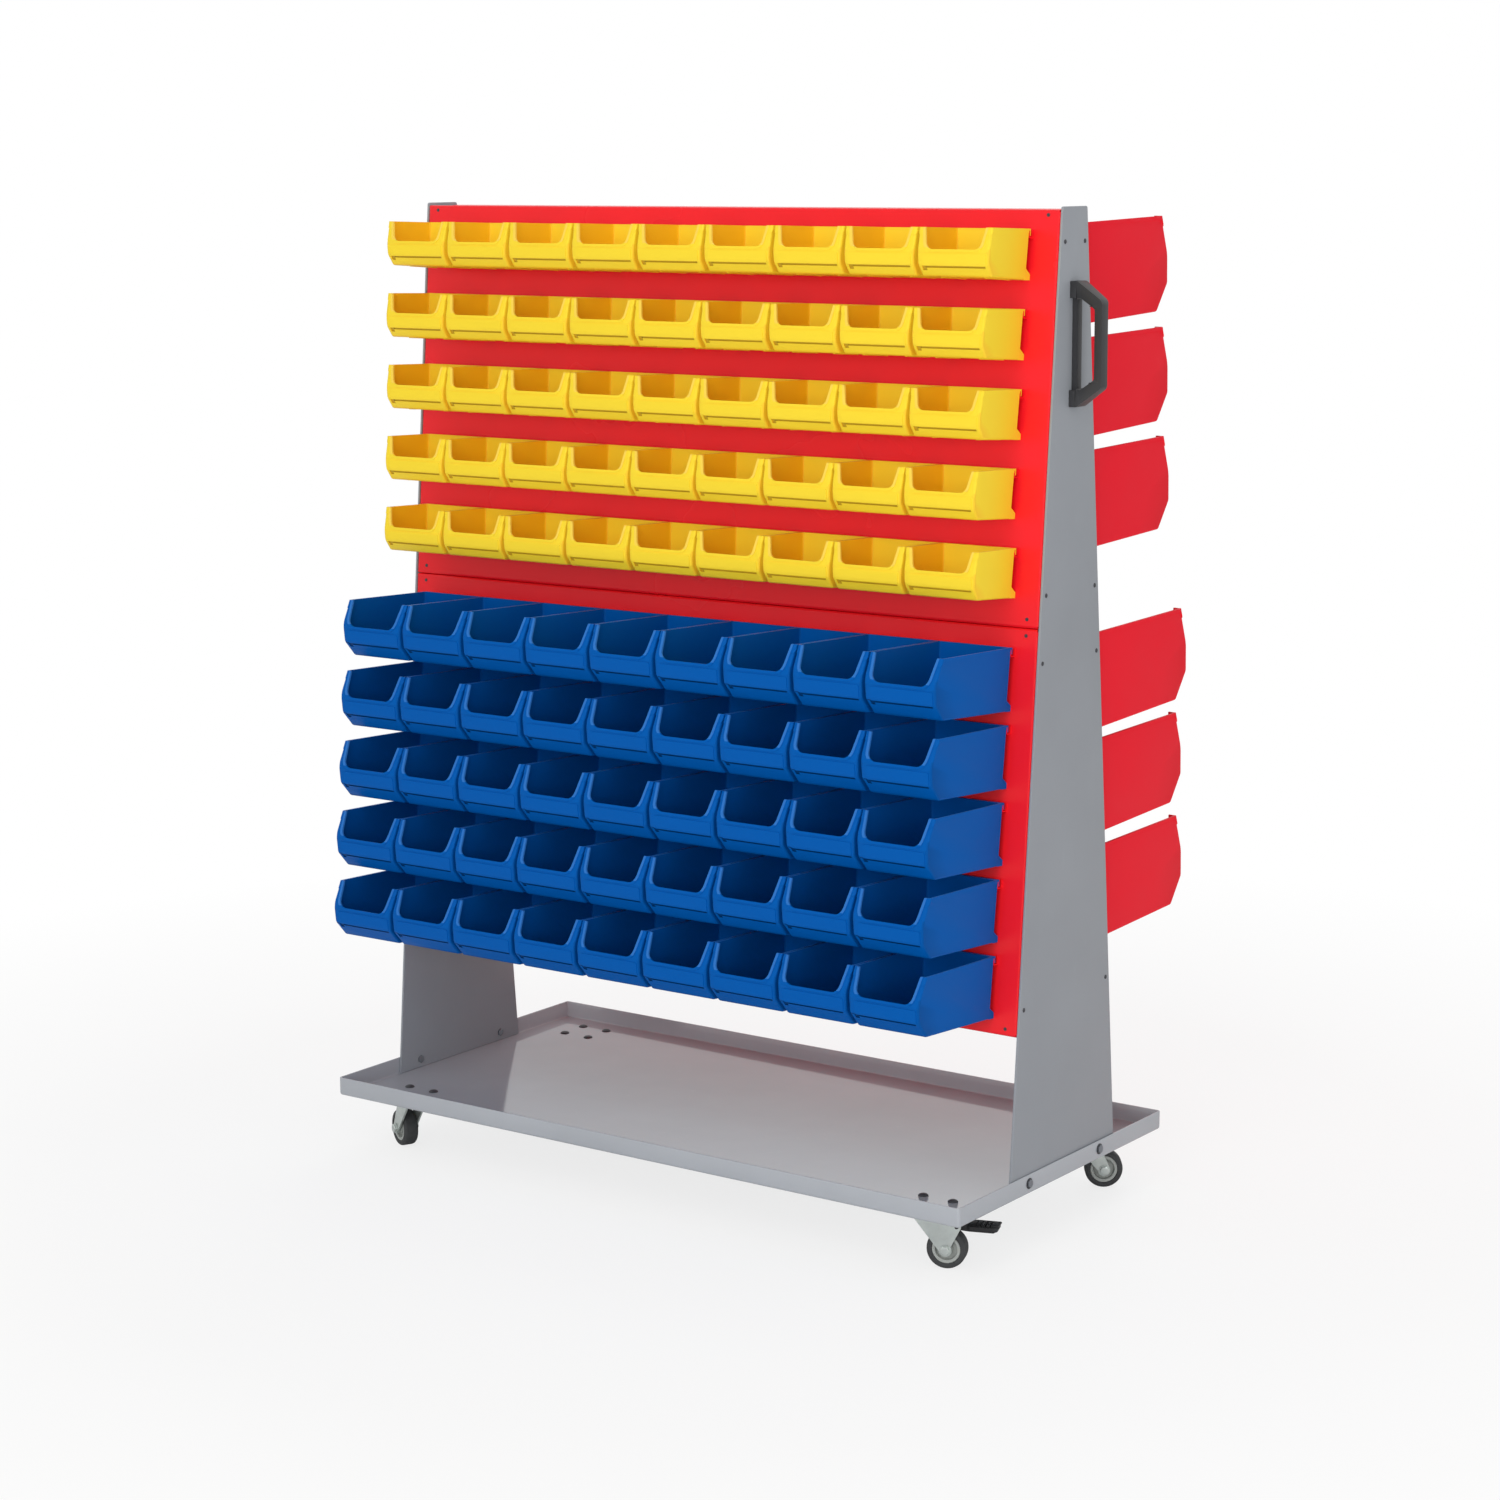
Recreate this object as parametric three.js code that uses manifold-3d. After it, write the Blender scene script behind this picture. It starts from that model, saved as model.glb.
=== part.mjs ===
// Mobile bin cart: a double-sided rack on casters, hung with open-fronted storage bins.
// Millimetres, +Z up. The front, with the yellow and blue bins, faces -Y; the red bins are at the back.
import * as THREE from "three";
import { mergeVertices } from "three/addons/utils/BufferGeometryUtils.js";
import Module from "manifold-3d";

const wasm = await Module();
wasm.setup();

// Clearances and cuts
const seat = 0.3; // gap left between two pieces that touch
const running = 0.4; // play of a shaft in its bore
const overrun = 20; // how far a cut runs past what it cuts
const bond = 0.2; // how far two fused bodies run into each other

// Base tray
const trayLength = 1000;
const trayDepth = 500;
const trayFlange = 25;
const traySheet = 2;

// End plates of the A-frame
const plateHeight = 1201;
const plateFootWidth = 258;
const plateTopWidth = 58;
const plateSheet = 3;
const plateBoltSpacing = 174;
const plateBoltRise = 14; // above the underside of the tray
const plateBoltRadius = 3;
const plateBoltHeadRadius = 5.5;
const plateBoltHeadHeight = 3;

// Panels, folded from sheet
const panelHeight = 500;
const panelTopGap = 3; // below the top edge of the end plates
const panelSheet = 1.5;
const panelSideFlange = 24;
const panelEdgeFlange = 16;

// Hanging strips, folded with an upturned lip that the bins hook over
const firstStripDrop = 24; // hook line of the first row, below the top edge of its panel
const stripSheet = 1.5;
const stripLegHeight = 11;
const stripLipHeight = 9;
const stripLipReach = 10.2; // outer face of the lip, from the panel

// Bins: reaches are measured out from the panel, drops down from the hook line, and a fall is how
// much lower the front end of an edge lies than its back end
const binWall = 2;
const binStandoff = 11; // back wall, from the panel
const binFootHeight = 7;
const hookBridge = 2;
const hookTongue = 1.6;
const hookLength = 8;
const binMouthCorner = 12;
const binLedge = 1.4;
const yellowBin = {
  name: "yellow",
  width: 102,
  reach: 99,
  height: 61.5,
  topReach: 94,
  topFall: 4,
  browDrop: 34,
  sillReach: 97,
  sillDrop: 48,
  floorReach: 86,
  floorFall: 1,
  sideDraft: 2,
  mouthTopInset: 8,
  mouthBottomInset: 14,
  mouthDepth: 30,
};
const blueBin = {
  name: "blue",
  width: 102,
  reach: 177,
  height: 81,
  topReach: 164,
  topFall: 7,
  browDrop: 38,
  sillReach: 173,
  sillDrop: 62,
  floorReach: 153,
  floorFall: 3,
  sideDraft: 2,
  mouthTopInset: 7,
  mouthBottomInset: 12,
  mouthDepth: 41,
};
const redBin = {
  name: "red",
  width: 150,
  reach: 243,
  height: 132,
  topReach: 228,
  topFall: 13,
  browDrop: 62,
  sillReach: 242,
  sillDrop: 99,
  floorReach: 213,
  floorFall: 9,
  sideDraft: 2,
  mouthTopInset: 9,
  mouthBottomInset: 17,
  mouthDepth: 68,
};

// Rows of bins from the top down: how far apart the rows hang, the gap between two bins of a row,
// and how far each row sits off the middle of its panel
const yellowRowPitch = 95;
const blueRowPitch = 94.5;
const upperRearRowDrops = [19, 159, 299]; // hook lines, below the top edge of the panel
const lowerRearRowDrops = [23, 163, 303];
const yellowBinGaps = [3, 2.4, 2, 1.5, 2];
const blueBinGap = 2;
const redBinGap = 6;
const yellowRowShifts = [-12, -12, -9, -9, -5];
const blueRowShifts = [-3, -3, -3, -4, -4];
const redRowShifts = [9, 6, 4, 24, 13, 10];
const smallBinsPerRow = 9;
const largeBinsPerRow = 6;

// Pull handle
const handleLength = 150;
const handleFootWidth = 22;
const handleFootHeight = 20;
const handleFootThickness = 10;
const handleReach = 42;
const handleGripLength = 104;
const handleGripWidth = 15;
const handleGripThickness = 10;
const handleBackWidth = 9;
const handleBackThickness = 8;
const handleTopDrop = 88; // from the top of the end plate to the top of the handle

// Casters
const casterHeight = 77;
const casterInsetX = 80; // swivel axis, from the end of the tray
const casterInsetY = 58; // swivel axis, from the side of the tray
const casterTrail = 24;
const casterPlateSide = 60;
const casterPlateSheet = 3;
const casterPlateCorner = 6;
const casterBoltSpacing = 43;
const casterBoltNeck = 5; // square neck
const casterBoltHeadRadius = 6.5;
const casterBoltHeadHeight = 3;
const raceRadius = 18;
const raceHeight = 6;
const kingpinRadius = 5;
const kingpinHeadRadius = 8;
const kingpinHeadHeight = 3;
const crownRadius = 21;
const crownSheet = 3;
const legSheet = 2.5;
const legEndRadius = 8;
const wheelRadius = 25;
const wheelWidth = 20;
const wheelSideGap = 1.5;
const tyreThickness = 7;
const tyreShoulder = 2.5;
const hubWidth = 18;
const hubWeb = 7;
const hubRimWall = 4;
const hubBossRadius = 8;
const axleRadius = 4;
const axleHeadRadius = 6.5;
const axleHeadHeight = 3.5;

// Brake pedals, one at the front right caster and one at the rear left
const pedalPivotOut = 38; // from the swivel axis
const pedalPivotHeight = 56; // above the floor
const pedalPinRadius = 2.5;
const pedalHubRadius = 4.5;
const pedalWidth = 19;
const pedalNoseLength = 8.3;
const pedalNoseWidth = 4;
const pedalTreadWidth = 30;
const pedalTreadStart = 52; // from the swivel axis
const pedalTreadEnd = 90;
const pedalTreadThickness = 6;
const pedalTreadRise = 4; // lift of the tread's tip
const pedalEarRadius = 5.5;

// How each caster stands in the photograph: the way its wheel trails, in degrees from +X
const casters = [
  { name: "front_right", x: 1, y: -1, heading: 20, brake: true },
  { name: "rear_right", x: 1, y: 1, heading: 35, brake: false },
  { name: "front_left", x: -1, y: -1, heading: 155, brake: false },
  { name: "rear_left", x: -1, y: 1, heading: 10, brake: true },
];

// Derived places
const trayBottom = casterHeight;
const trayFloor = trayBottom + traySheet;
const plateFootZ = trayFloor + seat;
const plateOuterX = trayLength / 2 - traySheet - seat;
const plateInnerX = plateOuterX - plateSheet;
const frameTilt = Math.atan((plateFootWidth - plateTopWidth) / 2 / plateHeight);
const panelWidth = 2 * (plateInnerX - seat);
const casterX = trayLength / 2 - casterInsetX;
const casterY = trayDepth / 2 - casterInsetY;

// Materials, in the colours of the photograph
function finish(color, roughness, metalness) {
  return new THREE.MeshStandardMaterial({ color, roughness, metalness });
}
const greyPaint = finish(0x989da5, 0.5, 0.1);
const redPaint = finish(0xe0303a, 0.45, 0.1);
const yellowPlastic = finish(0xfdd23a, 0.45, 0);
const bluePlastic = finish(0x0060b0, 0.45, 0);
const redPlastic = finish(0xe62c3a, 0.45, 0);
const zincSteel = finish(0xc8d2ce, 0.35, 0.8);
const hubPlastic = finish(0xa5aaa5, 0.5, 0);
const tyreRubber = finish(0x3c3c3c, 0.8, 0);
const blackPlastic = finish(0x2a2a2c, 0.5, 0);
const handlePlastic = finish(0x464648, 0.55, 0);
const binFinish = { yellow: yellowPlastic, blue: bluePlastic, red: redPlastic };

// Solids from closed geometries
function solid(geometry) {
  const bare = geometry.clone();
  bare.deleteAttribute("normal");
  bare.deleteAttribute("uv");
  const merged = mergeVertices(bare);
  return new wasm.Manifold(
    new wasm.Mesh({
      numProp: 3,
      vertProperties: merged.attributes.position.array,
      triVerts: new Uint32Array(merged.index.array),
    }),
  );
}

function join(...solids) {
  return solids.reduce((whole, next) => whole.add(next));
}

function cut(body, ...tools) {
  return tools.reduce((rest, tool) => rest.subtract(tool), body);
}

function piece(name, body, material) {
  const mesh = body.getMesh();
  const geometry = new THREE.BufferGeometry();
  geometry.setAttribute("position", new THREE.BufferAttribute(mesh.vertProperties, mesh.numProp));
  geometry.setIndex(new THREE.BufferAttribute(mesh.triVerts, 1));
  geometry.computeVertexNormals();
  const made = new THREE.Mesh(geometry, material);
  made.name = name;
  return made;
}

// A block between two opposite corners
function block(x0, x1, y0, y1, z0, z1) {
  const geometry = new THREE.BoxGeometry(x1 - x0, y1 - y0, z1 - z0);
  geometry.translate((x0 + x1) / 2, (y0 + y1) / 2, (z0 + z1) / 2);
  return solid(geometry);
}

// A round bar along an axis, from one place on it to another, with a radius at each end
function bar(axis, from, to, radius, sides, endRadius = radius) {
  const geometry = new THREE.CylinderGeometry(endRadius, radius, to - from, sides);
  geometry.translate(0, (from + to) / 2, 0);
  if (axis === "x") geometry.rotateZ(-Math.PI / 2);
  if (axis === "z") geometry.rotateX(Math.PI / 2);
  return solid(geometry);
}

function outline(points) {
  return new THREE.Shape(points.map(([a, b]) => new THREE.Vector2(a, b)));
}

function extrusion(shape, length, curveSegments) {
  return new THREE.ExtrudeGeometry(shape, { depth: length, bevelEnabled: false, curveSegments });
}

// A shape drawn in (x, z), standing across y between two places
function acrossY(shape, y0, y1, curveSegments = 6) {
  const geometry = extrusion(shape, y1 - y0, curveSegments);
  geometry.rotateX(Math.PI / 2);
  geometry.translate(0, y1, 0);
  return solid(geometry);
}

// A shape drawn in (y, z), standing across x between two places
function acrossX(shape, x0, x1, curveSegments = 6) {
  const geometry = extrusion(shape, x1 - x0, curveSegments);
  geometry.rotateX(Math.PI / 2);
  geometry.rotateZ(Math.PI / 2);
  geometry.translate(x0, 0, 0);
  return solid(geometry);
}

// A shape drawn in (x, y), standing up between two heights
function upright(shape, z0, z1, curveSegments = 6) {
  const geometry = extrusion(shape, z1 - z0, curveSegments);
  geometry.translate(0, 0, z0);
  return solid(geometry);
}

function mirroredPairs(spacing) {
  return [-spacing / 2, spacing / 2];
}

// Base tray: a pan with its corners closed, pierced for the caster and end plate bolts
function baseTray() {
  const endX = trayLength / 2;
  const sideY = trayDepth / 2;
  const top = trayBottom + trayFlange;
  const hole = casterBoltNeck / 2 + running;
  const casterHoles = casters.flatMap(({ x, y }) =>
    mirroredPairs(casterBoltSpacing).flatMap((dx) =>
      mirroredPairs(casterBoltSpacing).map((dy) => {
        const cx = x * casterX + dx;
        const cy = y * casterY + dy;
        return block(cx - hole, cx + hole, cy - hole, cy + hole, trayBottom - overrun, trayFloor + seat);
      }),
    ),
  );
  const boltZ = trayBottom + plateBoltRise;
  const flangeHoles = mirroredPairs(plateBoltSpacing).map((y) =>
    bar("x", -endX - overrun, endX + overrun, plateBoltRadius + running, 6)
      .translate([0, y, boltZ]),
  );
  // The hollow in three zones: over the left casters, the clear floor between, over the right casters
  const clearX = casterX - casterBoltSpacing;
  const innerX = endX - traySheet;
  const innerY = sideY - traySheet;
  const zones = [[-innerX, -clearX], [-clearX, clearX], [clearX, innerX]];
  return cut(
    block(-endX, endX, -sideY, sideY, trayBottom, top),
    ...zones.map(([x0, x1]) => block(x0, x1, -innerY, innerY, trayFloor, top + overrun)),
    ...casterHoles,
    ...flangeHoles,
  );
}

// Right end plate: a tapered sheet with the two bolts that hold it to the tray's end flange
function endPlate() {
  const top = plateFootZ + plateHeight;
  const sheet = acrossX(
    outline([
      [-plateFootWidth / 2, plateFootZ],
      [plateFootWidth / 2, plateFootZ],
      [plateTopWidth / 2, top],
      [-plateTopWidth / 2, top],
    ]),
    plateInnerX,
    plateOuterX,
  );
  const boltZ = trayBottom + plateBoltRise;
  const headX = trayLength / 2 + seat;
  const bolts = mirroredPairs(plateBoltSpacing).map((y) =>
    join(
      bar("x", plateOuterX - bond, headX + bond, plateBoltRadius, 6),
      bar("x", headX, headX + plateBoltHeadHeight, plateBoltHeadRadius, 8),
      bar("x", plateInnerX - plateBoltHeadHeight, plateInnerX + bond, plateBoltHeadRadius, 6),
    ).translate([0, y, boltZ]),
  );
  return join(sheet, ...bolts);
}

// Panels and everything that hangs on them are drawn in the panel's own frame:
// x along it, y away from the viewer, z up its face, with the face at y = 0 and the top of the A-frame at z = 0
function sideGroup(turn) {
  const leaning = new THREE.Group();
  leaning.position.set(0, -plateTopWidth / 2, plateFootZ + plateHeight);
  leaning.rotation.x = -frameTilt;
  const side = new THREE.Group();
  side.rotation.z = turn;
  side.add(leaning);
  return { side, leaning };
}

// A folded panel with flanges on all four edges, open at the back
function foldedPanel(topZ) {
  const w = panelWidth / 2;
  const high = topZ - seat;
  const low = topZ - panelHeight + seat;
  return cut(
    block(-w, w, 0, panelSideFlange, low, high),
    block(-w + panelSheet, w - panelSheet, panelSheet, panelSideFlange + overrun, low + panelSheet, high - panelSheet),
    block(-w + panelSheet, w - panelSheet, panelEdgeFlange, panelSideFlange + overrun, low - overrun, high + overrun),
  );
}

// Hanging strip: a leg against the panel, a fold outwards and an upturned lip
function hangingStrip(length) {
  const lipTop = -hookBridge - seat;
  const fold = lipTop - stripLipHeight;
  const legTop = fold + stripLegHeight;
  return acrossX(
    outline([
      [-seat, legTop],
      [-seat - stripSheet, legTop],
      [-seat - stripSheet, fold + stripSheet],
      [-stripLipReach + stripSheet, fold + stripSheet],
      [-stripLipReach + stripSheet, lipTop],
      [-stripLipReach, lipTop],
      [-stripLipReach, fold],
      [-seat, fold],
    ]),
    -length / 2,
    length / 2,
  );
}

// Side outline of a bin and its foot. A hung bin has a hook with a tongue behind the strip's lip;
// one drawn with the strip runs into the lip and is one body with it.
function binOutline(kind, hung) {
  const back = hung ? -binStandoff : -stripLipReach;
  const low = kind.floorFall - kind.height;
  const tongueFront = -stripLipReach + stripSheet + seat + hookTongue;
  const front = [
    [-kind.floorReach, -kind.height],
    [-kind.sillReach, -kind.sillDrop],
    [-kind.reach, -kind.browDrop],
    [-kind.topReach, -kind.topFall],
  ];
  const foot = [
    [back, low + 2 * binFootHeight],
    ...(hung ? [[-seat, low + binFootHeight]] : []),
    [-seat, low],
  ];
  const hook = hung
    ? [
        [tongueFront, 0],
        [tongueFront, -hookLength],
        [tongueFront - hookTongue, -hookLength],
        [tongueFront - hookTongue, -hookBridge],
        [back, -hookBridge],
      ]
    : [[back, 0]];
  return outline([...front, ...hook, ...foot]);
}

// The hollow of a bin, its front kept one wall inside the outer front
function hollowOutline(kind, hung) {
  const back = -binStandoff - binWall;
  return outline([
    [back, overrun],
    [-kind.topReach + binWall, overrun],
    ...(hung ? [[-kind.topReach + binWall, -kind.topFall]] : []),
    ...(hung ? [[-kind.reach + binWall, -kind.browDrop]] : []),
    [-kind.sillReach + binWall, -kind.sillDrop],
    [-kind.floorReach + binWall, -kind.height + binWall],
    [back, kind.floorFall - kind.height + binWall],
  ]);
}

// The hand opening in the upper front, wider at the top than at the bottom
function mouthOutline(kind, hung) {
  const top = kind.width / 2 - kind.mouthTopInset;
  const bottom = kind.width / 2 - kind.mouthBottomInset;
  const low = -kind.mouthDepth;
  const corner = low + binMouthCorner;
  const half = [
    [top, overrun],
    ...(hung ? [[bottom, corner]] : []),
    [bottom - binMouthCorner / 2, low],
  ];
  const otherHalf = half.map(([x, z]) => [-x, z]).reverse();
  return outline([...half, ...otherHalf]);
}

// Draws the two sides of a bin together towards its floor
function drafted(geometry, kind) {
  const position = geometry.attributes.position;
  for (let i = 0; i < position.count; i += 1) {
    const x = position.getX(i);
    const drawn = (kind.sideDraft * -position.getZ(i)) / kind.height;
    position.setX(i, x - Math.sign(x) * drawn);
  }
  return geometry;
}

function binLayer(shape, width, kind) {
  const geometry = extrusion(shape, width);
  geometry.rotateX(Math.PI / 2);
  geometry.rotateZ(Math.PI / 2);
  geometry.translate(-width / 2, 0, 0);
  return solid(drafted(geometry, kind));
}

function bin(kind, hung) {
  const mouth = acrossY(mouthOutline(kind, hung), -kind.reach - overrun, -kind.topReach + overrun);
  const shell = cut(
    binLayer(binOutline(kind, hung), kind.width, kind),
    binLayer(hollowOutline(kind, hung), kind.width - 2 * binWall, kind),
    mouth,
  );
  if (!hung) return shell;
  const half = kind.width / 2 - kind.mouthBottomInset + binMouthCorner / 2;
  const ledge = block(
    -half,
    half,
    -kind.sillReach - binLedge,
    -kind.sillReach + binWall / 2,
    -kind.sillDrop - binLedge / 2,
    -kind.sillDrop + binLedge / 2,
  );
  return join(shell, ledge);
}

// One row: the strip with its fixed bins, and the place of the end bin that lifts off
function binRow(kind, count, pitch) {
  const single = bin(kind, false);
  const span = (count - 1) * pitch;
  const fixed = Array.from({ length: count - 1 }, (_, i) =>
    single.translate([-span / 2 + i * pitch, 0, 0]),
  );
  return join(hangingStrip(span + kind.width), ...fixed);
}

// A whole row where no bin lifts off
function fullBinRow(kind, count, pitch) {
  const span = (count - 1) * pitch;
  const end = bin(kind, false).translate([span / 2, 0, 0]);
  return join(binRow(kind, count, pitch), end);
}

// Pull handle on the right end plate, its foot against the plate
function pullHandle() {
  const footX = plateOuterX + seat;
  const topZ = plateFootZ + plateHeight - handleTopDrop;
  const midZ = topZ - handleLength / 2;
  const out = footX + handleReach;
  const inner = out - handleGripThickness;
  const backX = footX + handleBackThickness;
  const halfGrip = handleGripLength / 2;
  const half = handleLength / 2;
  const halfGap = half - handleFootHeight;
  const ring = outline([
    [footX, midZ - half],
    [footX + handleFootThickness, midZ - half],
    [out, midZ - halfGrip],
    [out, midZ + halfGrip],
    [footX + handleFootThickness, midZ + half],
    [footX, midZ + half],
  ]);
  const gap = outline([
    [backX, midZ - halfGap],
    [backX + handleFootThickness / 2, midZ - halfGap],
    [inner, midZ - halfGrip + handleGripThickness],
    [inner, midZ + halfGrip - handleGripThickness],
    [backX + handleFootThickness / 2, midZ + halfGap],
    [backX, midZ + halfGap],
  ]);
  const wide = handleFootWidth / 2;
  const sideCuts = [-1, 1].flatMap((side) => [
    sideBlock(side, handleBackWidth / 2, wide, footX - overrun, backX, midZ - halfGap, midZ + halfGap),
    sideBlock(side, handleGripWidth / 2, wide, inner, out + overrun, midZ - half, midZ + half),
  ]);
  return cut(acrossY(ring, -wide, wide), acrossY(gap, -wide - overrun, wide + overrun), ...sideCuts);
}

// A block on one side of the middle plane, from a near to past a far distance
function sideBlock(side, near, far, x0, x1, z0, z1) {
  const y0 = side > 0 ? near : -far - overrun;
  const y1 = side > 0 ? far + overrun : -near;
  return block(x0, x1, y0, y1, z0, z1);
}

// A square with rounded corners
function roundedSquare(side, radius) {
  const h = side / 2;
  const s = new THREE.Shape();
  s.moveTo(-h + radius, -h);
  s.lineTo(h - radius, -h);
  s.absarc(h - radius, -h + radius, radius, -Math.PI / 2, 0);
  s.lineTo(h, h - radius);
  s.absarc(h - radius, h - radius, radius, 0, Math.PI / 2);
  s.lineTo(-h + radius, h);
  s.absarc(-h + radius, h - radius, radius, Math.PI / 2, Math.PI);
  s.lineTo(-h, -h + radius);
  s.absarc(-h + radius, -h + radius, radius, Math.PI, 1.5 * Math.PI);
  return s;
}

// Caster parts are drawn with the swivel axis at x = y = 0, the floor at z = 0 and the wheel trailing to +X
const casterPlateTop = casterHeight - seat;
const casterPlateUnder = casterPlateTop - casterPlateSheet;
const raceUnder = casterPlateUnder - raceHeight;
const crownTop = raceUnder - seat;
const crownUnder = crownTop - crownSheet;
const legInner = wheelWidth / 2 + wheelSideGap;
const legOuter = legInner + legSheet;

// Mounting plate with its ball race, kingpin and the four bolts up through the tray
function casterMount() {
  const bolts = mirroredPairs(casterBoltSpacing).flatMap((x) =>
    mirroredPairs(casterBoltSpacing).map((y) => {
      const n = casterBoltNeck / 2;
      const head = trayFloor + seat;
      return join(
        block(-n, n, -n, n, casterPlateUnder, head + bond),
        bar("z", head, head + casterBoltHeadHeight, casterBoltHeadRadius, 6),
      ).translate([x, y, 0]);
    }),
  );
  return join(
    upright(roundedSquare(casterPlateSide, casterPlateCorner), casterPlateUnder, casterPlateTop, 1),
    bar("z", raceUnder, casterPlateUnder + bond, raceRadius - crownSheet, 12, raceRadius),
    bar("z", crownUnder - seat - bond, casterPlateUnder, kingpinRadius, 8),
    bar("z", crownUnder - seat - kingpinHeadHeight, crownUnder - seat, kingpinHeadRadius, 8),
    ...bolts,
  );
}

// Side outline of a fork leg: from the crown down to a round end at the axle
function forkLeg(brake) {
  const half = Math.sqrt(crownRadius ** 2 - legOuter ** 2);
  const lean = Math.atan2(casterTrail, crownTop - wheelRadius);
  const s = new THREE.Shape();
  s.moveTo(-half, crownTop);
  s.lineTo(-half, crownUnder);
  s.absarc(casterTrail, wheelRadius, legEndRadius, Math.PI + lean, 2 * Math.PI + lean / 2);
  if (brake) s.absarc(pedalPivotOut, pedalPivotHeight, pedalEarRadius, 0, Math.PI / 2);
  s.lineTo(half, crownUnder);
  s.lineTo(half, crownTop);
  return s;
}

function casterFork(brake) {
  const legs = [
    acrossY(forkLeg(brake), legInner, legOuter, 3),
    acrossY(forkLeg(brake), -legOuter, -legInner, 3),
  ];
  const axleBore = bar("y", -legOuter - overrun, legOuter + overrun, axleRadius + running, 8)
    .translate([casterTrail, 0, wheelRadius]);
  const body = cut(
    join(bar("z", crownUnder, crownTop, crownRadius, 14), ...legs),
    bar("z", crownUnder - overrun, crownTop + overrun, kingpinRadius + running, 12),
    axleBore,
  );
  if (!brake) return body;
  const pinBore = bar("y", -legOuter - overrun, legOuter + overrun, pedalPinRadius + running, 8)
    .translate([pedalPivotOut, 0, pedalPivotHeight]);
  return cut(body, pinBore);
}

// Axle bolt with its head and nut outside the legs
function casterAxle() {
  const out = legOuter + seat;
  return join(
    bar("y", -out - bond, out + bond, axleRadius, 6),
    bar("y", out, out + axleHeadHeight, axleHeadRadius, 6),
    bar("y", -out - axleHeadHeight, -out, axleHeadRadius, 6),
  ).translate([casterTrail, 0, wheelRadius]);
}

// A turned piece on the axle, standing on a flat
function turned(profile, sides) {
  const points = [...profile, profile[0]].map(([r, y]) => new THREE.Vector2(r, y));
  const geometry = new THREE.LatheGeometry(points, sides);
  geometry.rotateY(Math.PI / sides);
  geometry.translate(casterTrail, 0, wheelRadius);
  return solid(geometry);
}

// Wheel centre: bored boss, thin web and rim
function casterHub() {
  const bore = axleRadius + running;
  const rim = wheelRadius - tyreThickness - seat;
  const rimInside = rim - hubRimWall;
  return turned(
    [
      [bore, -hubWidth / 2],
      [hubBossRadius, -hubWidth / 2],
      [rimInside, -hubWeb / 2],
      [rimInside, -hubWidth / 2],
      [rim, -hubWidth / 2],
      [rim, hubWidth / 2],
      [rimInside, hubWidth / 2],
      [rimInside, hubWeb / 2],
      [hubBossRadius, hubWidth / 2],
      [bore, hubWidth / 2],
    ],
    12,
  );
}

function casterTyre() {
  const sides = 24;
  const inside = wheelRadius - tyreThickness;
  const tread = wheelRadius / Math.cos(Math.PI / sides);
  return turned(
    [
      [inside, -wheelWidth / 2],
      [tread - tyreShoulder, -wheelWidth / 2],
      [tread, -wheelWidth / 2 + tyreShoulder],
      [tread, wheelWidth / 2 - tyreShoulder],
      [tread - tyreShoulder, wheelWidth / 2],
      [inside, wheelWidth / 2],
    ],
    sides,
  );
}

// Brake pedal: a tread to step on, a hub on its pin and a nose that swings on to the tyre
function brakePedal() {
  const half = pedalWidth / 2;
  const tread = outline([
    [pedalPivotOut, pedalPivotHeight + pedalHubRadius],
    [pedalPivotOut, pedalPivotHeight - pedalHubRadius / 2],
    [pedalTreadStart, pedalPivotHeight - pedalTreadThickness],
    [pedalTreadEnd - pedalTreadThickness, pedalPivotHeight - pedalTreadThickness],
    [pedalTreadEnd, pedalPivotHeight + pedalTreadRise],
    [pedalTreadStart, pedalPivotHeight + pedalTreadRise / 2],
  ]);
  const nose = outline([
    [pedalPivotOut - pedalNoseWidth / 2, pedalPivotHeight],
    [pedalPivotOut - pedalNoseWidth / 2, pedalPivotHeight - pedalNoseLength],
    [pedalPivotOut + pedalNoseWidth / 2, pedalPivotHeight - pedalNoseLength],
    [pedalPivotOut + pedalNoseWidth / 2, pedalPivotHeight],
  ]);
  const wideTread = block(
    pedalTreadStart,
    pedalTreadEnd - pedalTreadThickness / 2,
    -pedalTreadWidth / 2,
    pedalTreadWidth / 2,
    pedalPivotHeight - pedalTreadThickness / 2,
    pedalPivotHeight + pedalTreadRise / 2,
  );
  return join(
    acrossY(tread, -half, half),
    acrossY(nose, -half, half),
    wideTread,
    bar("y", -half, half, pedalHubRadius, 10).translate([pedalPivotOut, 0, pedalPivotHeight]),
    bar("y", -legOuter - seat, legOuter + seat, pedalPinRadius, 8)
      .translate([pedalPivotOut, 0, pedalPivotHeight]),
  );
}

// The whole cart
const cart = new THREE.Group();
cart.add(piece("base_tray", baseTray(), greyPaint));
cart.add(piece("end_plate_right", endPlate(), greyPaint));
cart.add(piece("end_plate_left", endPlate().rotate([0, 0, 180]), greyPaint));
cart.add(piece("pull_handle", pullHandle(), handlePlastic));

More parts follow.
